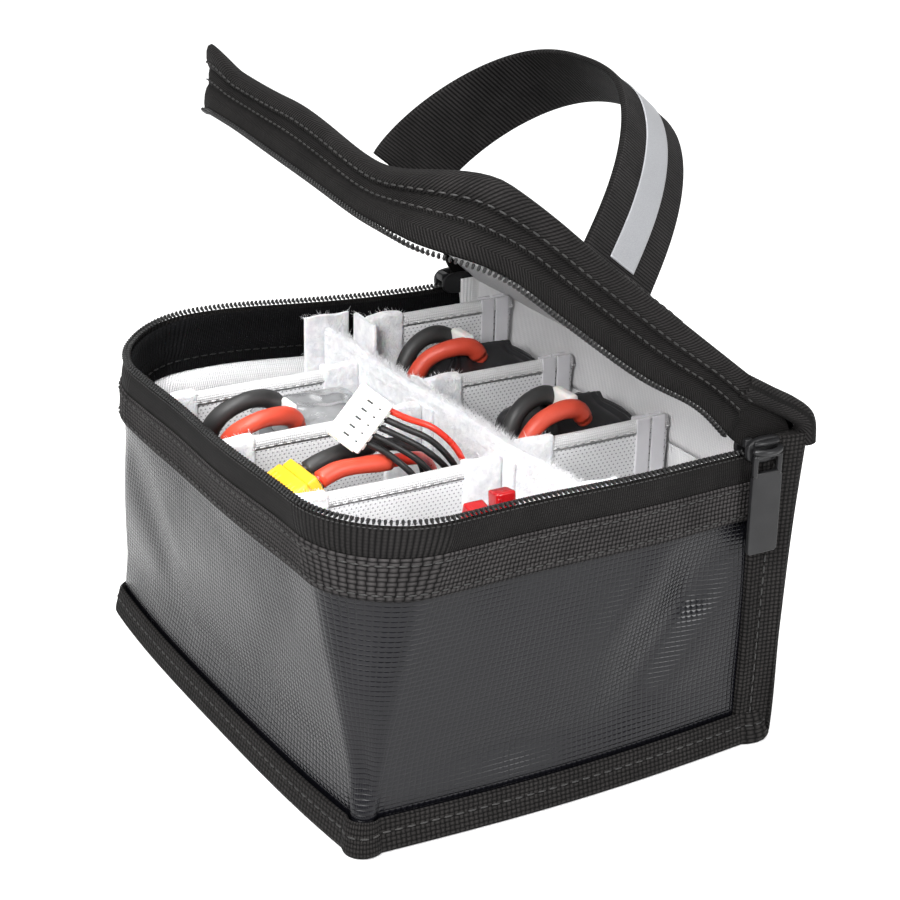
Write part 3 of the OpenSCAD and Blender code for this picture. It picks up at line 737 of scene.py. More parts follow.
# ---- Cords: the packs' leads, which repeat part.scad's routes ----
ROUTES = {
    "a_black": [(-27, -31, 73), (-26.5, -33, 77), (-24, -38, 80), (-23, -44, 80.5), (-25, -50, 77),
                (-29, -52, 70), (-31, -49.5, 61), (-31.5, -46, 53), (-31.5, -45, 46)],
    "a_red": [(-17, -31, 73), (-16, -33.5, 76.5), (-14, -39, 78.5), (-14, -45, 78), (-17, -50, 74),
              (-21, -51.5, 67), (-24, -49, 59), (-24.5, -46, 52), (-24.5, -45, 46)],
    "b_black": [(8, -5, 60), (8, -6, 66), (9, -10, 72), (12, -16, 75.5), (14.5, -25, 77.8),
                (16, -34, 78.6), (17.9, -41, 78.2), (17.9, -47, 76)],
    "b_red": [(13, -5, 60), (14, -7, 66), (17.5, -12, 72.5), (21.5, -19, 75.5), (24, -27, 77),
              (25, -35, 78), (25.1, -41, 78), (25.1, -47, 76)],
    "c_black": [(-38, 30, 78), (-38.5, 27.5, 82.5), (-39, 22, 83.5), (-39, 16, 80),
                (-39, 12.8, 72), (-39.4, 12.4, 62), (-40.5, 12.4, 54), (-40.5, 12.4, 46)],
    "c_red": [(-28, 33, 78), (-28.5, 29.5, 82), (-30, 23, 82), (-32.5, 17, 78.5),
              (-33.4, 13, 71), (-33.4, 12.4, 62), (-33.5, 12.4, 54), (-33.5, 12.4, 46)],
    "d_black": [(15, 31, 78), (15.5, 28, 82.5), (17.5, 22, 83.5), (18.5, 16, 80.5),
                (18.5, 12.8, 72), (17.5, 12.4, 62), (15.5, 12.4, 54), (15.5, 12.4, 46)],
    "d_red": [(25.5, 33, 78), (26, 29.5, 82), (26, 23, 82), (25.5, 17, 78.5),
              (25, 13, 70), (24, 12.4, 62), (22.5, 12.4, 54), (22.5, 12.4, 46)],
}
BALANCE_ROUTES = [
    [(23.2, -25.2, 90.5), (26, -21.5, 88.6), (28.4, -15, 85.5), (28.6, -8, 78), (27.4, -3.6, 68), (27, -3, 60)],
    [(23.1, -26.8, 88.6), (26, -23, 86.6), (28.2, -16, 82.5), (27, -9, 75), (25, -4, 67), (24.6, -2, 60)],
    [(23.1, -28.5, 86.7), (26, -24.5, 84.6), (27.8, -17.5, 80), (25.5, -10, 73), (22.6, -5, 66), (22.2, -3, 60)],
    [(23, -30.1, 84.8), (26, -26.2, 82.6), (28.5, -20, 78), (26.5, -13, 70.5), (21, -6.5, 64.5), (19.8, -2, 60)],
    [(23, -31.8, 82.9), (26, -27.8, 80.6), (29, -23, 76), (27, -16, 68), (19.5, -9, 62.5), (17.4, -6, 60)],
]
SLEEVED_D, MAIN_D, WIRE_D = 4.5, 3.5, 1.7
PLUG_TOP = 46
BALANCE_PITCH = 2.5


def add_cord(name, route, diameter, material, slot, node):
    path = curve_through(route, 8)
    made = own(tube(name, path, diameter / 2, material), "bag", slot, node)
    return path


def add_sleeve(name, path, start, end, radius, material, slot):
    """A shrunk sleeve over part of a lead, a little waisted and with rolled ends."""
    s = lengths(path)
    at = np.linspace(start, end, max(6, int((end - start) / 1.2)))
    part = columns_of([np.interp(at, s, path[:, k]) for k in range(3)])
    t = (at - at[0]) / (at[-1] - at[0])
    lip = np.exp(-((t - 0.03) / 0.03)**2) + np.exp(-((t - 0.97) / 0.03)**2)
    own(tube(name, part, radius * (1 + 0.05 * np.sin(t * 9) + 0.04 * lip), material, 18), "bag", slot)


def moved(piece, at, turn):
    """Turns a mesh about the origin and then moves it, in millimetres."""
    piece.data.transform(Matrix.Translation(Vector(at) * MM) @ turn)
    return piece


def add_plug(name, at, tilt, z_low, node):
    """Two-pole connector: a stepped nylon housing with ribs and two solder cups."""
    body_h = 12 if z_low < -14 else 9
    parts = [rounded_block("body", (15.8, 8, body_h), "yellow", 0.9, (0, 0, z_low + body_h / 2)),
             rounded_block("neck", (14.4, 6.8, -z_low - body_h), "yellow", 0.6, (0, 0, (z_low + body_h) / 2))]
    for side in (-1, 1):
        for k in range(3):
            parts.append(rounded_block("rib", (1.1, 8.5, body_h * 0.6), "yellow", 0.3,
                                       (side * (3 + 1.9 * k), 0, z_low + body_h * 0.45)))
        parts.append(tube("cup", [(side * 3.6, 0, -0.6), (side * 3.6, 0, 0.5)], 2.5, "gold", 16))
    made = moved(joined(name, parts), at, Matrix.Rotation(math.radians(tilt), 4, "X"))
    return own(made, "bag", "yellow_nylon", node)


def unit(v):
    v = np.asarray(v, float)
    return v / np.linalg.norm(v)


def add_balance_plug():
    """Five-way white housing with two rows of slots on its broad face and ribs on its edge."""
    along = unit((-0.03, -0.66, -0.75))
    out = np.array((0.6, 0.72, -0.35))
    out = unit(out - along * (out @ along))
    up = np.cross(along, out)
    axes = columns_of([along, out, up])
    size = (14.9, 9.8, 5.8)
    parts = [rounded_block("balance_body", size, "white_plastic", 0.45)]
    for x in BALANCE_PITCH * np.arange(-2, 3):
        # Slots and notches are thin dark blocks set into the face: painted shade standing in for their openings.
        parts += [rounded_block("slot", (0.55, 1.7, 0.3), "slot_shade", 0.1, (x, -0.4, size[2] / 2)),
                  rounded_block("notch", (0.5, 0.6, 0.3), "slot_shade", 0.1, (x, 2.7, size[2] / 2)),
                  rounded_block("cup", (1.9, 0.7, 3.6), "white_plastic", 0.2, (x, size[1] / 2, 0))]
    for side in (-1, 1):
        parts.append(rounded_block("rail", (0.7, 8, 1.2), "white_plastic", 0.2,
                                   (side * size[0] / 2, -0.4, size[2] / 2 - 1.4)))
    centre = cad("balance_plug_b").mean(axis=0)
    made = moved(joined("balance_housing", parts), centre, Matrix(axes.tolist()).to_4x4())
    return own(made, "bag", "white_nylon", "balance_plug_b")


def add_leads():
    plugs = {key: add_plug(f"plug_housing_{key}", at, tilt, low, f"plug_{key}") for key, at, tilt, low in (
        ("a", (-28, -45, PLUG_TOP), 0, -16), ("b", (21.5, -47, 76), -60, -12),
        ("c", (-37, 12.4, PLUG_TOP), 0, -16), ("d", (19, 12.4, PLUG_TOP), 0, -16))}
    for key, route in ROUTES.items():
        pack, colour = key.split("_")
        diameter = MAIN_D if pack == "b" else SLEEVED_D
        kind = "lead" if pack == "b" else "sleeve"
        slot = f"{colour}_silicone"
        path = add_cord(f"main_lead_{key}", route, diameter, f"{colour}_{kind}", slot, f"lead_{key}")
        total = lengths(path)[-1]
        if pack == "b":
            add_sleeve(f"sleeve_{key}", path, total - 22, total - 1, 2.25, f"{colour}_sleeve", slot)
        else:
            add_sleeve(f"sleeve_{key}", path, 1.5, total * 0.55, 2.5, f"{colour}_sleeve", slot)
    housing = add_balance_plug()
    for i, route in enumerate(BALANCE_ROUTES):
        colour = "red" if i == 0 else "black"
        add_cord(f"balance_lead_{i + 1}", route[::-1], WIRE_D, f"{colour}_lead", f"{colour}_silicone",
                 f"balance_wire_{i + 1}")


# ---- Shell ----
def add_shell():
    for name, edge, z0, z1, node, material, slot in (
            ("base_cloth", -0.2, 0.15, 1.15, "bottom_panel", "coated", "coated_fabric"),
            ("base_board", -4.1, 1.25, 3.15, "floor_board", "insulation", "insulation"),
            ("base_lining", -4.1, 3.25, 4.0, "floor_lining", "lining", "grey_lining")):
        low = [(edge - 6 * i, z0) for i in range(9)]
        grid, _ = bag_grid(low[::-1] + [(edge - 6 * i, z1) for i in range(9)], True)
        own(plate(name, grid, grid, material), "bag", slot, node)

    sides = bag_sweep("side_cloth", ladder(0, -1.1, 1.3, BAND[1], 42, 12), "coated", "bag", "coated_fabric",
                      "side_shell")
    girth = lengths(bag_outline(45)[:, :2])[-1]
    bag_sweep("side_padding", ladder(-1.3, -3.1, 1.4, INNER_TOP - 0.2, 16, 6), "insulation", "bag", "insulation",
              "side_insulation", fill=1)
    bag_sweep("inner_lining", ladder(-3.3, -4.0, 3.4, INNER_TOP + 4, 16, 10), "lining", "bag", "grey_lining",
              "wall_lining", closed=True)
    add_back()


def plate(name, grid, layout, material):
    """A flat piece of rings from the middle of one face, over its edge, to the middle of the other."""
    piece = surface(name, grid, layout[..., :2], material, False, True, False)
    bm = bmesh.new()
    bm.from_mesh(piece.data)
    bm.verts.ensure_lookup_table()
    columns = grid.shape[1]
    last = (grid.shape[0] - 1) * columns
    bm.faces.new([bm.verts[columns - 1 - k] for k in range(columns)])
    bm.faces.new([bm.verts[last + k] for k in range(columns)])
    bm.to_mesh(piece.data)
    bm.free()
    return piece


def back_sheet(name, inset_out, inset_in, z0, z1, material, slot, nodes, fill=None):
    """A panel across the back, with its two ends turned forward round the rear corners."""
    def line(z, inset):
        w, back, rb = half_w(z) - inset, back_y(z) - inset, max(BACK_R - inset, 0.6)
        turn = np.radians(np.linspace(0, 90, 7))
        right = [(w - rb + rb * c, back - rb + rb * s, c, s) for c, s in zip(np.cos(turn), np.sin(turn))]
        ahead = [(w, SPLIT_Y + (back - rb - SPLIT_Y) * t, 1, 0) for t in (0, 0.5)]
        x = np.linspace(w - rb, -w + rb, 60)[1:-1]
        half = ahead + right
        return np.array(half + [(k, back, 0, 1) for k in x] + [(-p[0], p[1], -p[2], p[3]) for p in half[::-1]])

    up, down = z0 + (z1 - z0) * np.arange(35) / 34, z1 + (z0 - z1) * np.arange(11) / 10
    grid = [soft_points(line(z, inset_out), z) for z in up] + [soft_points(line(z, inset_in), z) for z in down]
    flat = np.stack(np.meshgrid(lengths(line(45, 0)[:, :2]), np.concatenate([up, down])), -1)
    made = surface(name, grid, flat, material)
    return own(made, "bag", slot, *nodes, fill=fill)


def add_back():
    back_sheet("back_cloth", 0, 1.1, 1.3, 87.5, "coated", "coated_fabric", ["back_shell"])
    back_sheet("back_padding", 1.3, 3.1, 1.4, 84, "insulation", "insulation", ["back_insulation"], fill=1)
    back_sheet("back_lining", 3.2, 4.0, INNER_TOP + 4.3, 86.5, "lining", "grey_lining", [])


def add_bindings():
    h = BINDING_H
    section = [(-0.4, 0.9), (1.0, 0.1), (2.6, 0.0), (3.4, 0.5), (3.7, 1.5), (3.4, 2.9), (2.9, 4.4), (2.5, 6.0),
               (2.1, 7.4), (1.8, h - 0.4), (1.35, h + 0.1), (0.8, h - 0.1), (0.5, h - 1.2), (0.4, 5.0), (0.1, 2.5)]
    bag_sweep("base_binding", section, "binding", "bag", "black_webbing", "bottom_binding", closed=True)
    stitches("base_stitches", *on_bag(2.55, 5.6, closed=True), 3.3, (2.3, 0.55, 0.5))

    rim = [(0.15, BAND[0]), (0.9, BAND[0] - 0.1), (1.25, BAND[0] + 0.6), (1.25, 68), (1.15, 70.5), (1.25, 73),
           (1.2, BAND[1] - 0.6), (0.9, BAND[1] + 0.1), (0.15, BAND[1])]
    bag_sweep("rim_webbing", rim, "rim_webbing", "bag", "black_webbing", "rim_band", y_end=51)
    for k, z in enumerate((BAND[0] + 1.6, BAND[1] - 1.5)):
        stitches(f"rim_stitches_{k}", *on_bag(1.4, z, 50), 2.9, (2.1, 0.5, 0.4))

    low = INNER_TOP + 3.6
    inner = [(-1.3, low), (-1.3, 72), (-1.3, BAND[1]), (-2.0, 80), (-1.6, TAPE_TOP - 0.6),
             (-2.2, TAPE_TOP - 0.8), (-2.9, 80), (-3.4, BAND[1]), (-3.9, BAND[1] - 0.6), (-3.6, 72.5),
             (-4.4, low + 0.8), (-4.2, low)]
    bag_sweep("inner_band", inner, "inner_black", "bag", "black_webbing", "inner_rim_band")
    line, normal = on_bag(-4.1, low + 3.2)
    stitches("inner_stitches", line, -normal, 2.8, (2.0, 0.45, 0.4), "coil")
    add_rear_bindings()


def add_rear_bindings():
    """Bound seams that stand out at the rear corners, rounded at their feet."""
    pieces = []
    z = np.linspace(2.0, HINGE_EDGE[1] - 1.5, 40)
    for side in (-1, 1):
        grid, flat = [], []
        for h in z:
            w, back = half_w(h), back_y(h)
            bow = 0.5 * math.sin(h / 13)
            section = [(w - 1.0, 50.5), (w + 1.2, 50.2), (w + 2.3, 51.3), (w + 2.2, 54), (w + 2.7, 57),
                       (w + 3.2, 59.5), (w + 3.6, back + 1.0), (w + 2.9, back + 2.4), (w + 1.2, back + 2.8),
                       (w - 1.5, back + 1.4), (w - 4.0, back + 0.4), (w - 2, back - 2)]
            foot = 1.6 * smooth_step((34 - h) / 34)
            ring = np.array([(side * (x + bow * 0.3), y + bow * 0.4 + foot * smooth_step((y - 52) / 6), h)
                             for x, y in section])
            grid.append(ring)
            flat.append(columns_of([lengths(ring), np.full(len(ring), h)]))
        grid, flat = (np.array(rows).transpose(1, 0, 2) for rows in (grid, flat))
        pieces.append(surface(f"rear_binding_{side}", grid, flat, "binding"))
    own(joined("rear_binding", pieces), "bag", "black_webbing", "rear_bindings")
    for side, word in ((-1, "left"), (1, "right")):
        line = np.array([(side * (half_w(h) + 2.55), 54.6, h) for h in np.linspace(8, 84, 30)])
        normal = np.tile([side, 0.0, 0.0], (30, 1))
        stitches(f"rear_stitches_{word}", line, normal, 3.2, (2.2, 0.5, 0.45))


def add_lower_zip():
    tape = [(0.2, BAND[1] - 1.5), (0.6, BAND[1] - 0.2), (0.75, 78), (0.55, 80.5), (0.1, TAPE_TOP - 0.3),
            (-0.2, TAPE_TOP + 0.2), (-0.9, TAPE_TOP), (-0.6, 80), (-0.6, BAND[1] - 1)]
    bag_sweep("rim_tape", tape, "zip_tape", "bag", "zip_tape", "lower_zip_tape", y_end=51)
    teeth_row("rim_teeth", *on_bag(-0.45, TAPE_TOP + 0.95, SLIDER_Y - 4.5), "bag", "lower_zip_teeth")
    stitches("rim_tape_sewing", *on_bag(0.25, TAPE_TOP - 0.35, 50), TOOTH_PITCH, (1.0, 0.35, 0.35),
             slot="zip_tape")


def teeth_row(name, line, normal, body, node, rise=1.0):
    """Coil teeth: a bar across the tape at each pitch, with a knob at its tip."""
    places, along, up = spaced(line, normal, TOOTH_PITCH)
    lift = np.cross(up, along)
    lift /= np.linalg.norm(lift, axis=1)[:, None]
    lift *= rise * np.sign(lift[:, 2:3] * rise + 1e-9)
    beads(name + "_bars", places, up, along, (2.5, 1.0, 0.75), "coil", body, "zip_coil", [node])
    beads(name + "_knobs", places + lift * 0.45 + up * 0.3, lift, up, (0.9, 0.85, 0.85), "coil", body,
          "zip_coil")


# ---- Lid ----
LID_FRONT, LID_BACK = -63.0, PIVOT_Y - 4
LID_HALF = 76.2
LID_DEPTH = 17
LID_TOP = RIM + LID_DEPTH
LID_R = 28.0
CLOSED_TURN = math.radians(38.8)


def opened(p):
    """Moves closed-lid points to where the lid stands open at rest."""
    p = np.asarray(p, float)
    c, s = math.cos(CLOSED_TURN), math.sin(CLOSED_TURN)
    y, z = p[..., 1] - PIVOT_Y, p[..., 2] - RIM
    return np.stack([p[..., 0], PIVOT_Y + y * c + z * s, RIM - y * s + z * c], -1)


def curled(p):
    """The lid's soft shape: its front edge sags, and its far front corner turns up into a horn."""
    p = np.array(p, float)
    x, y, z = p[..., 0], p[..., 1], p[..., 2]
    high = np.clip((z - RIM) / LID_DEPTH, 0, 1.2)
    along = 0.605 * x + 0.796 * y
    sag_top = 3.9 * smooth_step((along + 92) / 14) + 5.6 * smooth_step((along + 62) / 32)
    sag_top *= smooth_step(-along / 30)
    sag_low = 5.6 * smooth_step((along + 74) / 50) * smooth_step((14 - along) / 28)
    drop = (sag_low + (sag_top - sag_low) * np.clip(high, 0, 1)) * smooth_step((38 - y) / 30)
    low_left = smooth_step((-60 - x) / 14) * smooth_step((y + 62) / 26) * (1 - np.clip(high, 0, 1))
    low_right = smooth_step((x - 60) / 14) * np.exp(-((y - 26) / 15)**2) * (1 - np.clip(high, 0, 1))
    far = np.exp(-((np.hypot(x + 69, y + 56)) / 15)**2)
    near = np.exp(-((np.hypot(x - 62, y + 52)) / 20)**2)
    wander = 0.5 * np.sin(x / 13) * np.clip((30 - y) / 90, 0, 1)
    shift = np.stack([-4.5 * far * high, -6.5 * far * high,
                      far * high - drop + 1.4 * near * high + 11.0 * low_left + 3.0 * low_right + wander], -1)
    return p + shift


def lid_line(z, out):
    """The lid's edge while closed: its points, and its outline with normals."""
    p = outline(LID_HALF + out, LID_FRONT - out, 70, LID_R + out, 5, False, LID_BACK)
    return columns_of([p[:, 0], p[:, 1], np.full(len(p), z)]), p


def lid_sweep(name, section, material, slot, *nodes):
    grid = [opened(curled(lid_line(z, out)[0])) for out, z in section]
    return own(surface(name, grid, flat_of(lid_line(0, 0)[0], section), material), "lid", slot, *nodes)


def on_lid(out, z):
    """A line round the open lid, with its normals, for stitches and teeth."""
    line, p = lid_line(z, out)
    base = opened(curled(line))
    return base, opened(curled(line + columns_of([p[:, 2], p[:, 3], np.zeros(len(p))]))) - base


def lid_plate(name, z_top, z_low, inset, crown, material, slot, node, fill=None):
    """The flat of the lid from its rounded front to the hinge side, crowned like a padded panel."""
    rings = 12
    shape = []
    for face, z in ((1, z_top), (-1, z_low)):
        for i in (range(rings) if face > 0 else range(rings - 1, -1, -1)):
            t = (i + 0.5) / rings
            w, front = (LID_HALF - inset) * t, (LID_FRONT + inset) * t + (1 - t) * LID_BACK * 0.2
            back = LID_BACK * t + (1 - t) * LID_BACK * 0.2
            p = outline(w, front, back, (LID_R - inset) * t, 1.2 * t, True, 0)
            ring = columns_of([p[:, :2], np.full(len(p), z)])
            swell = crown * (1 - t**4) + 0.35 * np.sin(p[:, 0] / 9 + p[:, 1] / 17) * (1 - t**2)
            ring[:, 2] += swell if face > 0 else -swell * 0.4
            shape.append(ring)
    grid = np.array(shape)
    own(plate(name, opened(curled(grid)), grid, material), "lid", slot, node, fill=fill)


def add_lid():
    top = LID_TOP
    lid_plate("lid_top_cloth", top + 0.2, top - 0.8, 1.6, 1.4, "coated", "coated_fabric", "lid_panel")
    lid_plate("lid_padding", top - 1.3, top - 3.0, 2.8, 0.8, "insulation", "insulation", "lid_insulation", 1)
    lid_plate("lid_under_cloth", top - 3.2, top - 4.0, 1.9, 0.3, "lining", "grey_lining", "lid_lining")
    roll = [(-3.4, top + 0.1), (-2.2, top + 0.9), (-0.4, top + 1.3), (1.2, top + 0.9), (2.2, top - 0.3),
            (2.5, top - 1.8), (2.1, top - 3.4), (1.1, top - 4.6), (0.1, top - 5.0), (-0.8, top - 4.0),
            (-1.2, top - 2.0), (-2.6, top - 0.9)]
    lid_sweep("lid_roll", roll, "twill", "black_webbing", "lid_binding")
    side = [(0.5, top - 4.8), (0.55, top - 6.4), (0.1, top - 8.2), (-0.2, top - 9.2), (-1.3, top - 9.0),
            (-1.5, top - 6.5), (-1.4, top - 4.6)]
    lid_sweep("lid_side_band", side, "herringbone", "black_webbing", "lid_band")
    z0 = RIM + 0.2
    tape = [(-0.1, top - 8.6), (0.45, top - 10.2), (0.6, top - 12.0), (0.3, z0 + 2.6), (-0.1, z0 + 1.7),
            (-0.9, z0 + 1.8), (-0.6, z0 + 4), (-0.9, top - 9.2)]
    lid_sweep("lid_tape", tape, "herringbone", "zip_tape", "upper_zip_tape")
    inner = [(-1.2, top - 3.6), (-1.2, top - 8), (-1.3, z0 + 3.2), (-1.9, z0 + 3.0), (-2.2, top - 9),
             (-2.0, top - 3.4)]
    lid_sweep("lid_inner_edge", inner, "lining", "grey_lining")
    teeth_row("lid_teeth", *on_lid(-0.45, z0 + 0.85), "lid", "upper_zip_teeth", rise=-1.0)
    stitches("lid_stitches_a", *on_lid(0.75, top - 8.0), 2.6, (1.8, 0.45, 0.4), body="lid")
    stitches("lid_stitches_b", *on_lid(1.9, top - 4.2), 3.0, (2.0, 0.5, 0.4), body="lid")


def add_gusset():
    """Soft cloth behind the zip ends: the back of the lid down to the back panel, and two cheeks."""
    fold = ((0, HINGE_EDGE[0] * MM, (HINGE_EDGE[1] - 1) * MM), (0, 0.0535, 0.1035))
    n, m = 60, 14
    x = np.linspace(-1, 1, n)
    rows, flat = [], []
    for (_, y0, z0), y1, z1, puff, wide, v0, shares in (
            (opened((0, LID_BACK - 1.5, LID_TOP + 1.0)), HINGE_EDGE[0] + 0.4, HINGE_EDGE[1] - 1.2, 1.5, 0.6, 0,
             range(m + 1)),
            (opened((0, LID_BACK - 1.0, LID_TOP - 4.0)), HINGE_EDGE[0] - 3.2, 86.2, 0, -0.6, 30,
             range(m, -1, -1))):
        for t in np.array(shares) / m:
            swell = puff * math.sin(math.pi * t)
            across = x * (LID_HALF + wide - 1.6 * t)
            rows.append(columns_of([across, np.full(n, y0 + (y1 - y0) * t + swell * 0.5),
                                    np.full(n, z0 + (z1 - z0) * t + swell)]))
            flat.append(columns_of([across, np.full(n, t * 24 + v0)]))
    skin = surface("hinge_cloth", rows, flat, "coated")
    own(skin, ("bag", "lid"), "coated_fabric", "hinge_gusset", fold=fold)
    rows = [r + np.array([0, -0.55, -0.75]) for r in rows[m + 1:]]
    back = [r + np.array([0, -0.5, -0.6]) for r in rows[::-1]]
    under = surface("hinge_lining", rows + back, flat[m + 1:] + flat[m + 1:][::-1], "lining")
    own(under, ("bag", "lid"), "grey_lining", fold=fold)
    for side, word in ((-1, "left"), (1, "right")):
        add_cheek(side, word, fold)


def add_cheek(side, word, fold):
    """Side cloth and rolled binding from the lid's edge round to the rear corner."""
    path = curve_through([opened((0, LID_BACK - 5, LID_TOP - 1.7)), (0, 53.0, 98.2), (0, 59.4, 94.6),
                          (0, 64.2, 90.6), (0, 65.0, 84.5)], 6)
    path[:, 0] = side * (LID_HALF + 0.4 + 0.6 * np.linspace(0, 1, len(path)))
    own(tube(f"hinge_roll_{word}", path, 2.95, "twill", 16), ("bag", "lid"), "black_webbing", fold=fold)
    rise = 5.0 * (1 - side)  # the left cheek starts higher on the lid
    start = LID_BACK - 1
    low = curve_through([opened((0, start, RIM + 3.5 + rise)), (0, 45.5 + rise * 0.3, RIM + 1.2 + rise * 0.5),
                         (0, 51 + rise * 0.1, RIM - 0.6 + rise * 0.2), (0, 58, RIM - 1.5)], 6)
    high = curve_through([opened((0, start, LID_TOP - 2.5)), (0, 54.2, 95.4), (0, 59, 91.4), (0, 61.4, 86.5)], 6)
    grid, flat = [], []
    for outward in (0, 1):
        for t in np.linspace(outward, 1 - outward, 9):
            row = low * (1 - t) + high * t
            row[:, 0] = side * (LID_HALF - 0.2 - 1.3 * outward + 0.3 * math.sin(math.pi * t))
            grid.append(row)
            flat.append(columns_of([lengths(row), np.full(len(row), t * 14)]))
    own(surface(f"hinge_cheek_{word}", grid, flat, "herringbone"), ("bag", "lid"), "zip_tape", fold=fold)


# ---- Handle ----
WEB_W, WEB_T = 25.6, 1.8
HANDLE_Y, HANDLE_HALF, HANDLE_RISE, LEAN, WIDTH_LEAN = 1.0, 53.0, 59.0, 23.0, 1.0


def handle_place(x, y, h):
    """Closed-lid point of the handle: its middle line leans back, and its width hardly turns with it."""
    lean = np.radians(LEAN)
    tip = np.radians(WIDTH_LEAN) * smooth_step(h / 26)
    return np.stack([x, HANDLE_Y + y * np.cos(tip) + h * np.sin(lean),
                     LID_TOP + 1.1 - y * np.sin(tip) + h * np.cos(lean)], -1)


def arch(turn, out):
    c, s = np.cos(turn), np.sin(turn)
    half = HANDLE_HALF - 2.0 * smooth_step(2 * c)
    return ((half + out) * np.sign(c) * np.abs(c)**0.8 - 30 * s, (HANDLE_RISE + out) * s**1.25)


def strap(name, turn, out, width, thick, material, slot, node, fold):
    """Webbing along the arch, with rounded selvedges."""
    section = [(-0.5, 0.1), (-0.46, 0.0), (-0.25, 0.0), (0, -0.03), (0.25, 0.0), (0.46, 0.0), (0.5, 0.1),
               (0.5, 0.9), (0.46, 1.0), (0.25, 1.0), (0, 1.03), (-0.25, 1.0), (-0.46, 1.0), (-0.5, 0.9)]
    grid, flat = [], []
    s = lengths(columns_of(arch(turn, out)))
    for across, through in section:
        x, h = arch(turn, out + thick * through)
        wave = 0.35 * np.sin(s / 15) * (abs(across) > 0.3)
        y = np.full(len(turn), across * width) + wave
        grid.append(opened(handle_place(x, y, np.maximum(h, 0))))
        flat.append(columns_of([s, np.full(len(s), across * width + (60 if through > 0.5 else 0))]))
    own(surface(name, grid, flat, material), ("lid", "handle"), slot, node, fold=fold)


def add_handle():
    turn = np.radians(np.linspace(3, 177, 130))
    fold = [opened((0, HANDLE_Y, LID_TOP + rise)) * MM for rise in (1, 13)]
    strap("handle_strap", turn, 0, WEB_W, WEB_T, "webbing", "black_webbing", "handle_webbing", fold)
    stripe = np.radians(np.linspace(9, 171, 120))
    strap("handle_stripe", stripe, WEB_T + 0.12, WEB_W * 0.36, 0.3, "stripe", "reflective_tape",
          "reflective_stripe", fold)
    ends = []
    for side in (-1, 1):
        n = 14
        x = side * np.linspace(HANDLE_HALF - 1.5, HANDLE_HALF + 14, n)
        grid, flat = [], []
        for across, through in [(-0.5, 0), (0, 0), (0.5, 0), (0.5, 1), (0, 1.03), (-0.5, 1)]:
            z = LID_TOP + 1.2 + 1.5 * through + 0.9 * np.exp(-((np.abs(x) - HANDLE_HALF) / 2.5)**2)
            y = np.full(n, HANDLE_Y + across * WEB_W)
            grid.append(opened(curled(columns_of([x, y, z]))))
            flat.append(columns_of([x, y + 40 * through]))
        ends.append(surface(f"end{side}", grid, flat, "webbing"))
    own(joined("handle_tails", ends), "lid", "black_webbing", "strap_ends")
    places, along = [], []
    for side in (-1, 1):
        box = np.array([(side * (HANDLE_HALF + x), y) for x, y in ((3, -10), (13, -10), (13, 10), (3, 10))])
        for i, k in ((0, 1), (1, 2), (2, 3), (3, 0), (0, 2), (1, 3)):
            a, b = box[i], box[k]
            count = int(np.linalg.norm(b - a) / 2.6)
            for k in range(count):
                p = a + (b - a) * (k + 0.5) / count
                places.append([p[0], p[1] + HANDLE_Y, LID_TOP + 2.8])
                along.append([b[0] - a[0], b[1] - a[1], 0])
    places, along = np.array(places), np.array(along)
    spots = opened(curled(places))
    heading = opened(places + along) - opened(places)
    up = np.tile(opened(np.array([0, 0, 1.0])) - opened(np.zeros(3)), (len(places), 1))
    beads("handle_stitches", spots, heading, up, (1.9, 0.5, 0.45), "thread", "lid", "black_webbing")


# ---- Sliders ----
def rounded_plate(name, outline_yz, x0, x1, edge, material):
    """A flat metal form from an outline in Y and Z, with bevelled edges."""
    bm = bmesh.new()
    verts = [bm.verts.new((x0, y, z)) for y, z in outline_yz]
    face = bm.faces.new(verts)
    bmesh.ops.recalc_face_normals(bm, faces=[face])
    grown = bmesh.ops.extrude_face_region(bm, geom=[face])
    moved = [g for g in grown["geom"] if isinstance(g, bmesh.types.BMVert)]
    bmesh.ops.translate(bm, vec=(x1 - x0, 0, 0), verts=moved)
    bmesh.ops.recalc_face_normals(bm, faces=bm.faces)
    rims = [e for e in bm.edges if abs(e.verts[0].co.x - e.verts[1].co.x) < 1e-6 and len(e.link_faces) == 2
            and abs(e.link_faces[0].normal @ e.link_faces[1].normal) < 0.5]
    bmesh.ops.bevel(bm, geom=rims, offset=edge, segments=3, profile=0.6, affect="EDGES")
    return mesh(name, *taken(bm), material)


def oval(cy, cz, ry, rz):
    """A squarish oval in Y and Z."""
    n, power = 28, 2.6
    turn = np.arange(n) * 2 * math.pi / n
    c, s = np.cos(turn), np.sin(turn)
    return [(cy + ry * math.copysign(abs(a)**(2 / power), a), cz + rz * math.copysign(abs(b)**(2 / power), b))
            for a, b in zip(c, s)]


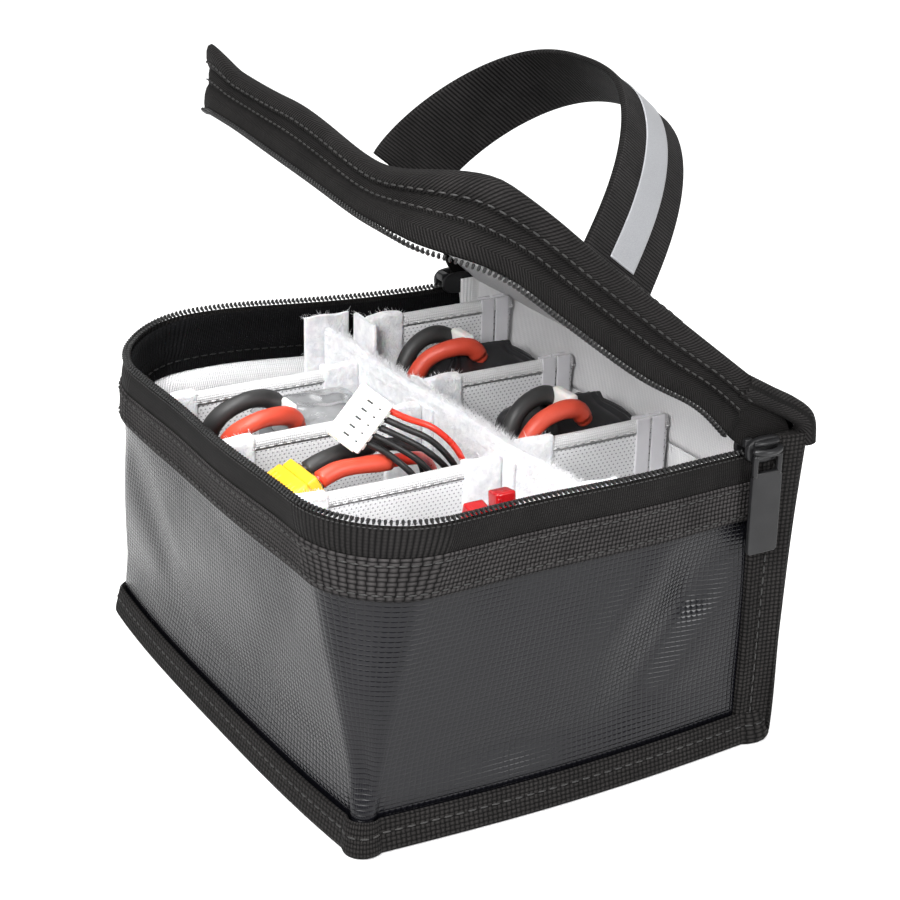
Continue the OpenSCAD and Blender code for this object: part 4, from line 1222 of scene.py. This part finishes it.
def add_slider(side, word):
    """A zip slider: two shaped plates, the post between them, a bail, and its pull."""
    z = RIM - 0.2
    parts = [rounded_plate("inner_plate", oval(SLIDER_Y, z, 5.5, 3.2), side * 72.5, side * 73.8, 0.35, "metal"),
             rounded_plate("outer_plate", oval(SLIDER_Y, z, 5.6, 3.4), side * 77.1, side * 78.7, 0.5, "metal"),
             rounded_block("post", (3.9, 2.4, 2.4), "metal", 0.5, (side * 75.4, SLIDER_Y - 4.2, z + 1.9))]
    arc = np.radians(np.linspace(-75, 75, 15))
    bail = np.array([(side * (78.4 + 3.0 * math.cos(a)), SLIDER_Y + 4.2 * math.sin(a), z + 0.3) for a in arc])
    parts.append(tube("bail", bail, 0.85, "metal", 12))
    dome = [(side * (78.3 + 0.9 * math.cos(a)), SLIDER_Y + 3.6 * math.sin(a), z + 2.0) for a in arc]
    parts.append(tube("dome", np.array(dome), 0.8, "metal", 12))
    own(joined(f"zip_slider_{word}", parts), f"slider_{word}", "black_zip_metal", f"slider_{word}")

    axis_x, axis_z = 79.75, 84.1
    low, w = axis_z - 26.5, 9.2 / 2
    half = [(w - 0.6, low), (w, low + 0.6), (w, axis_z - 5.5), (w - 0.7, axis_z - 4.2)]
    outer = [(SLIDER_Y + y, h) for y, h in [(-half[0][0], low)] + half + [(-y, h) for y, h in half[:0:-1]]]
    blade = rounded_plate("blade", outer, side * (axis_x - 0.65), side * (axis_x + 0.65), 0.3, "metal")
    loop = [(-3.7, axis_z - 5.2), (-3.7, axis_z - 0.9), (-2.9, axis_z + 0.1), (2.9, axis_z + 0.1),
            (3.7, axis_z - 0.9), (3.7, axis_z - 5.2)]
    ring = curve_through([(side * axis_x, SLIDER_Y + y, h) for y, h in loop], 6)
    own(joined(f"zip_pull_{word}", [blade, tube("pull_loop", ring, 0.8, "metal", 12)]), f"pull_{word}",
        "black_zip_metal", f"pull_{word}")


# ---- Dividers ----
LONG_Y, LONG_T, LONG_TOP = 5.0, 3.0, 79.0
FLOOR_Z = cad("floor_lining")[1][2]
FRONT_X, HINGE_X = (-47, -10, 32), (-50, -16, 31)
DIVIDER_TOP = 76.0


def add_long_divider(line, top):
    """The soft upright sheet that splits the bag, with a rounded top edge."""
    heading = np.gradient(line, axis=0)
    heading /= np.linalg.norm(heading, axis=1)[:, None]
    normal = columns_of([heading[:, 1], -heading[:, 0]])
    s, low, rows = lengths(line), FLOOR_Z + 0.1, 16
    up = [(0.5, k / rows, 0) for k in range(rows + 1)]
    over = [(0.36, 1.0, 0.28), (0.0, 1.0, 0.4), (-0.36, 1.0, 0.28)]
    grid, flat = [], []
    for off, t, rise in up + over + [(-0.5, k / rows, 0) for k in range(rows, -1, -1)]:
        wave = 0.25 * np.sin(s / 14) * math.sin(math.pi * t * 0.9)
        z = low + (top + 0.35 * np.sin(s / 9) - low) * t + rise * LONG_T
        grid.append(columns_of([line + normal * (off * LONG_T + wave)[:, None], z]))
        flat.append(columns_of([s, z + (0 if off >= 0 else 100)]))
    own(surface("long_divider_pile", grid, flat, "pile"), "bag", "white_loop_pile", "long_divider")


def pad(name, centre, size, seed, fibres, length):
    """A soft pile pad with lumpy faces and loose fibres round it."""
    rng = np.random.default_rng(seed)
    phase = rng.uniform(0, 6, 6)

    def lumpy(p):
        off = 0.16 * np.sin(p[:, 2] / 2.3 + phase[0]) + 0.16 * np.sin(p[:, 1] / 1.7 + p[:, 0] / 1.9 + phase[1])
        away = p / np.maximum(np.abs(p).max(axis=1), 1e-6)[:, None]
        grown = p + away * off[:, None]
        grown[:, 2] += 0.35 * np.sin(p[:, 0] / 2.1 + phase[2]) * np.sin(p[:, 1] / 2.6 + phase[3])
        return grown

    made = rounded_block(name, size, "pile", min(size) * 0.34, centre, wave=lumpy)
    own(made, "bag", "white_loop_pile")
    points = np.array([v.co for v in made.data.vertices]) / MM
    normals = np.array([v.normal for v in made.data.vertices])
    keep = points[:, 2] > centre[2] + size[2] / 2 - 16
    fuzz(name + "_fibres", points[keep], normals[keep], fibres, length, seed)


def add_dividers():
    reach = cad("long_divider")[1][0]
    x = np.linspace(-reach, reach, 90)
    line = columns_of([x, LONG_Y + 0.4 * np.sin(x / 23)])
    add_long_divider(line, LONG_TOP - 0.6)
    ridge = columns_of([line, np.full(len(line), LONG_TOP)])
    side = np.tile([0.0, 0.0, 1.0], (len(ridge), 1))
    fuzz("long_divider_fuzz_top", ridge, side, 6500, 3.4, 11, 1.1)
    for k, way in enumerate((-1, 1)):
        rows = np.vstack([columns_of([line[:, 0], line[:, 1] + way * LONG_T / 2, np.full(len(line), h)])
                          for h in (LONG_TOP - 1.5, LONG_TOP - 4, LONG_TOP - 8, LONG_TOP - 13)])
        out = np.tile([0.0, float(way), 0.35], (len(rows), 1))
        fuzz(f"long_divider_fuzz_{k}", rows, out, 4200, 2.6, 21 + k, 0.9)

    wall_at = half_w(40) - 4.6
    for side, word in ((-1, "left"), (1, "right")):
        pad(f"long_tab_{word}", (side * (wall_at + 0.2), LONG_Y, 44.5), (1.3, 14.5, 77), 31 + side, 120, 1.8)
    own(bpy.data.objects["long_tab_left"], "bag", None, "divider_tabs")

    for i, x0 in enumerate(FRONT_X):
        add_cross(f"front_{i + 1}", x0, front_y(DIVIDER_TOP) + 5.4, LONG_Y - LONG_T / 2 - 0.9, DIVIDER_TOP,
                  f"front_divider_{i + 1}", 41 + i, front_y(FLOOR_Z) + 5.4)
    for i, x0 in enumerate(HINGE_X):
        add_cross(f"hinge_{i + 1}", x0, back_y(DIVIDER_TOP) - 5.4, LONG_Y + LONG_T / 2 + 0.9,
                  cad(f"hinge_divider_{i + 1}")[1][2], f"hinge_divider_{i + 1}", 51 + i, back_y(FLOOR_Z) - 5.4)


def add_cross(name, x, wall, inner, top, node, seed, foot_wall):
    """A cross divider: white perforated cloth, a bound top edge, and pile ends turned into tabs."""
    toward = 1 if wall > inner else -1
    n = 36
    y = np.linspace(inner, wall, n)
    grid, flat = [], []
    rows = 14
    t_half = 0.9
    up = [(1, k / rows) for k in range(rows + 1)]
    levels = up + [(0, 1.0)] + [(-1, t) for _, t in up[::-1]]
    share = (y - inner) / (wall - inner)
    for off, t in levels:
        far = foot_wall + (wall - foot_wall) * t
        yy = inner + (far - inner) * share
        bow = 0.5 * np.sin(yy / 12 + seed) * math.sin(math.pi * t)
        z = np.full(n, FLOOR_Z + 0.1 + (top - 1.2 - FLOOR_Z) * t + (0.5 if off == 0 else 0))
        grid.append(columns_of([x + off * t_half + bow, yy, z]))
        flat.append(columns_of([yy, z]))
    own(surface(f"divider_{name}", grid, flat, "divider"), "bag", "white_weave", node)

    edge = columns_of([np.full(n, x) + 0.12 * np.sin(y / 7 + seed), y, np.full(n, top - 1.3)])
    half = [(0.5, 1.0), (1.1, 0.3), (1.35, -1.2), (1.25, -2.6), (0.6, -2.4)]
    section = [(-off, rise) for off, rise in half[3::-1]] + half + [(-0.6, -2.4)]
    rim = [edge + np.array([off, 0, rise]) for off, rise in section]
    flat = [columns_of([y, np.full(n, 1.3 * k)]) for k in range(len(rim))]
    own(surface(f"divider_edge_{name}", rim, flat, "smooth_white"), "bag", "white_weave")
    for side in (-1, 1):
        stitches(f"divider_stitches_{name}_{'ab'[side > 0]}", edge + np.array([side * 1.4, 0, -2.0]),
                 np.tile([float(side), 0, 0], (n, 1)), 2.6, (1.7, 0.35, 0.3), "white_thread", slot="white_weave")

    end_len = 11.5
    mid, far = inner + toward * end_len / 2, wall - toward * end_len / 2
    low = FLOOR_Z + 1.5
    tall = top + 0.6 - low
    pad(f"pile_in_{name}", (x, mid, low + tall / 2), (3.5, end_len, tall), seed + 100, 150, 1.8)
    if name.startswith("front"):
        size = (3.6, end_len, 2 * (top + 0.4 - 50))
        pad(f"pile_out_{name}", (x, far - toward * 0.4, 50), size, seed + 200, 150, 1.8)
    else:
        add_hook_strip(name, x, far, toward, low, top)
    flange = inner - toward * 0.5
    pad(f"tab_in_{name}", (x, flange, low + (top - low) / 2), (12.5, 1.1, top - low), seed + 300, 70, 1.5)


def add_hook_strip(name, x, far, toward, low, top):
    """The translucent hook strips that hold a divider's end to the back wall."""
    tall = top + 0.2 - low
    parts = [rounded_block("strip", (0.8, 4.2, tall), "hook", 0.25, (x + out, far + toward * y, low + tall / 2))
             for out in (-1.25, 1.25) for y in (-2.6, 2.3)]
    own(joined(f"hook_strips_{name}", parts), "bag", "white_loop_pile")


# ---- Packs ----
def wrapped_pack(key, x, y, w, d, top, seed, ridge_up=0.0, material="wrap", slot="shrink_wrap"):
    """Cells under shrunk film: rounded sides with creases, and a top folded to a ridge."""
    rng = np.random.default_rng(seed)
    phase = rng.uniform(0, 6.3, 8)
    n = 72
    turn = np.arange(n) * 2 * math.pi / n
    c, s = np.cos(turn), np.sin(turn)
    power = 0.32
    px, py = np.sign(c) * np.abs(c)**power, np.sign(s) * np.abs(s)**power
    low = FLOOR_Z + 0.2
    levels = [(low, 0.90), (low + 1.5, 0.985)] + [(z, 1.0) for z in np.linspace(low + 4, top - 7, 14)] \
        + [(top - 5, 0.985), (top - 3.2, 0.95), (top - 1.8, 0.88), (top - 0.9, 0.76), (top - 0.3, 0.6),
           (top + 0.1, 0.4), (top + 0.3, 0.2)]
    grid, flat = [], []
    for z, share in levels:
        narrow = share**(1 + ridge_up)
        wrinkle = 0.22 * np.sin(3 * turn + z / 9 + phase[0]) + 0.16 * np.sin(9 * turn + z / 4 + phase[1])
        pinch = 1 + (0.012 * wrinkle if share > 0.9 else 0.03 * wrinkle)
        fold = 0.7 * np.exp(-(py * d / 2 * share / 3)**2) * (share < 0.95)
        ridge = 0.35 * np.sin(14 * turn + phase[2]) * (0.3 < share < 0.97)
        lens = ridge_up * 1.1 * smooth_step((0.97 - share) / 0.7)
        grid.append(columns_of([x + px * w / 2 * narrow * pinch, y + py * d / 2 * max(share, 0.62) * pinch,
                                     np.full(n, z) + fold + ridge + lens]))
        flat.append(columns_of([turn * w / 2, np.full(n, z)]))
    own(capped(f"cells_{key}", grid, flat, material), "bag", slot, f"pack_{key}")


def add_packs():
    wrapped_pack("a", -28, -18, 30, 29, 71, 1, 0, "grey_cell", "clear_wrap")
    own(wrapped_film("film_a", -28, -18, 31, 30, 72.5), "bag", "clear_wrap")
    wrapped_pack("b", 12.2, -16, 33, 32, 60, 2)
    wrapped_pack("c", -33, 35, 29, 33, 78, 3, 1.6)
    wrapped_pack("d", 14.2, 35, 29, 33, 78, 4, 1.6)
    bits = [rounded_block("insulator", size, "white_plastic", edge, at) for size, edge, at in (
        ((7, 2.2, 5), 0.7, (-22, -31.5, 76.2)), ((9, 3.4, 5.5), 1.2, (-33, 29.5, 82.6)),
        ((9, 3.4, 5.5), 1.2, (20.5, 29.5, 82.6)))]
    own(joined("lead_insulators", bits), "bag", "white_nylon")

    parts = []
    for x, y, tilt in ((61, -22.5, 14), (58, -12.5, -6)):
        turn = Matrix.Rotation(math.radians(tilt), 3, "Y")
        parts += [rounded_block("cell", (7, 8.6, 63.5), "grey_cell", 1.5, (x, y, 4.4 + 31.8)),
                  rounded_block("red", (4.6, 5.6, 12), "red_plastic", 0.7, (x, y, 73.2), turn),
                  rounded_block("rib", (5.0, 1.0, 10), "red_plastic", 0.3, (x, y - 2, 73.0), turn),
                  rounded_block("pin", (1.2, 1.2, 5), "gold", 0.3, (x, y, 70), turn)]
    own(joined("slim_cells", parts), "bag", "shrink_wrap", "small_packs")


def wrapped_film(name, x, y, w, d, top):
    """A crumpled end of clear film over the grey pack."""
    n, m = 40, 26
    rng = np.random.default_rng(5)
    phase = rng.uniform(0, 6.3, 6)
    rows, flat = [], []
    for i in range(m):
        v = -1 + 2 * i / (m - 1)
        u = np.linspace(-1, 1, n)
        h = 2.4 * (1 - np.abs(u)**3) * (1 - abs(v)**3) + 0.5 * np.sin(4 * u + 5 * v + phase[0]) \
            + 0.35 * np.sin(9 * u - 4 * v + phase[1]) + 0.25 * np.sin(13 * v + 3 * u + phase[2])
        drop = 4.0 * np.maximum(np.abs(u), abs(v))**8
        rows.append(columns_of([x + u * w / 2, np.full(n, y + v * d / 2), top + h * 0.7 - drop]))
        flat.append(columns_of([u * w / 2, np.full(n, v * d / 2)]))
    top_side = np.array(rows)
    under = top_side[::-1] - np.array([0, 0, 0.25])
    return surface(name, np.vstack([top_side, under]), flat + flat[::-1], "clear")


def add_floor():
    size, below = 3000, -0.05
    points = [(x * size, y * size, below) for x, y in ((-1, -1), (1, -1), (1, 1), (-1, 1))]
    piece = mesh("studio_floor", points, [[0, 1, 2, 3]], "thread", smooth=False)
    piece.data.materials[0] = floor_material()


add_camera()
add_leads()
add_studio()
add_floor()
add_shell()
add_bindings()
add_lower_zip()
add_lid()
add_gusset()
add_handle()
add_slider(1, "right")
add_slider(-1, "left")
add_dividers()
add_packs()
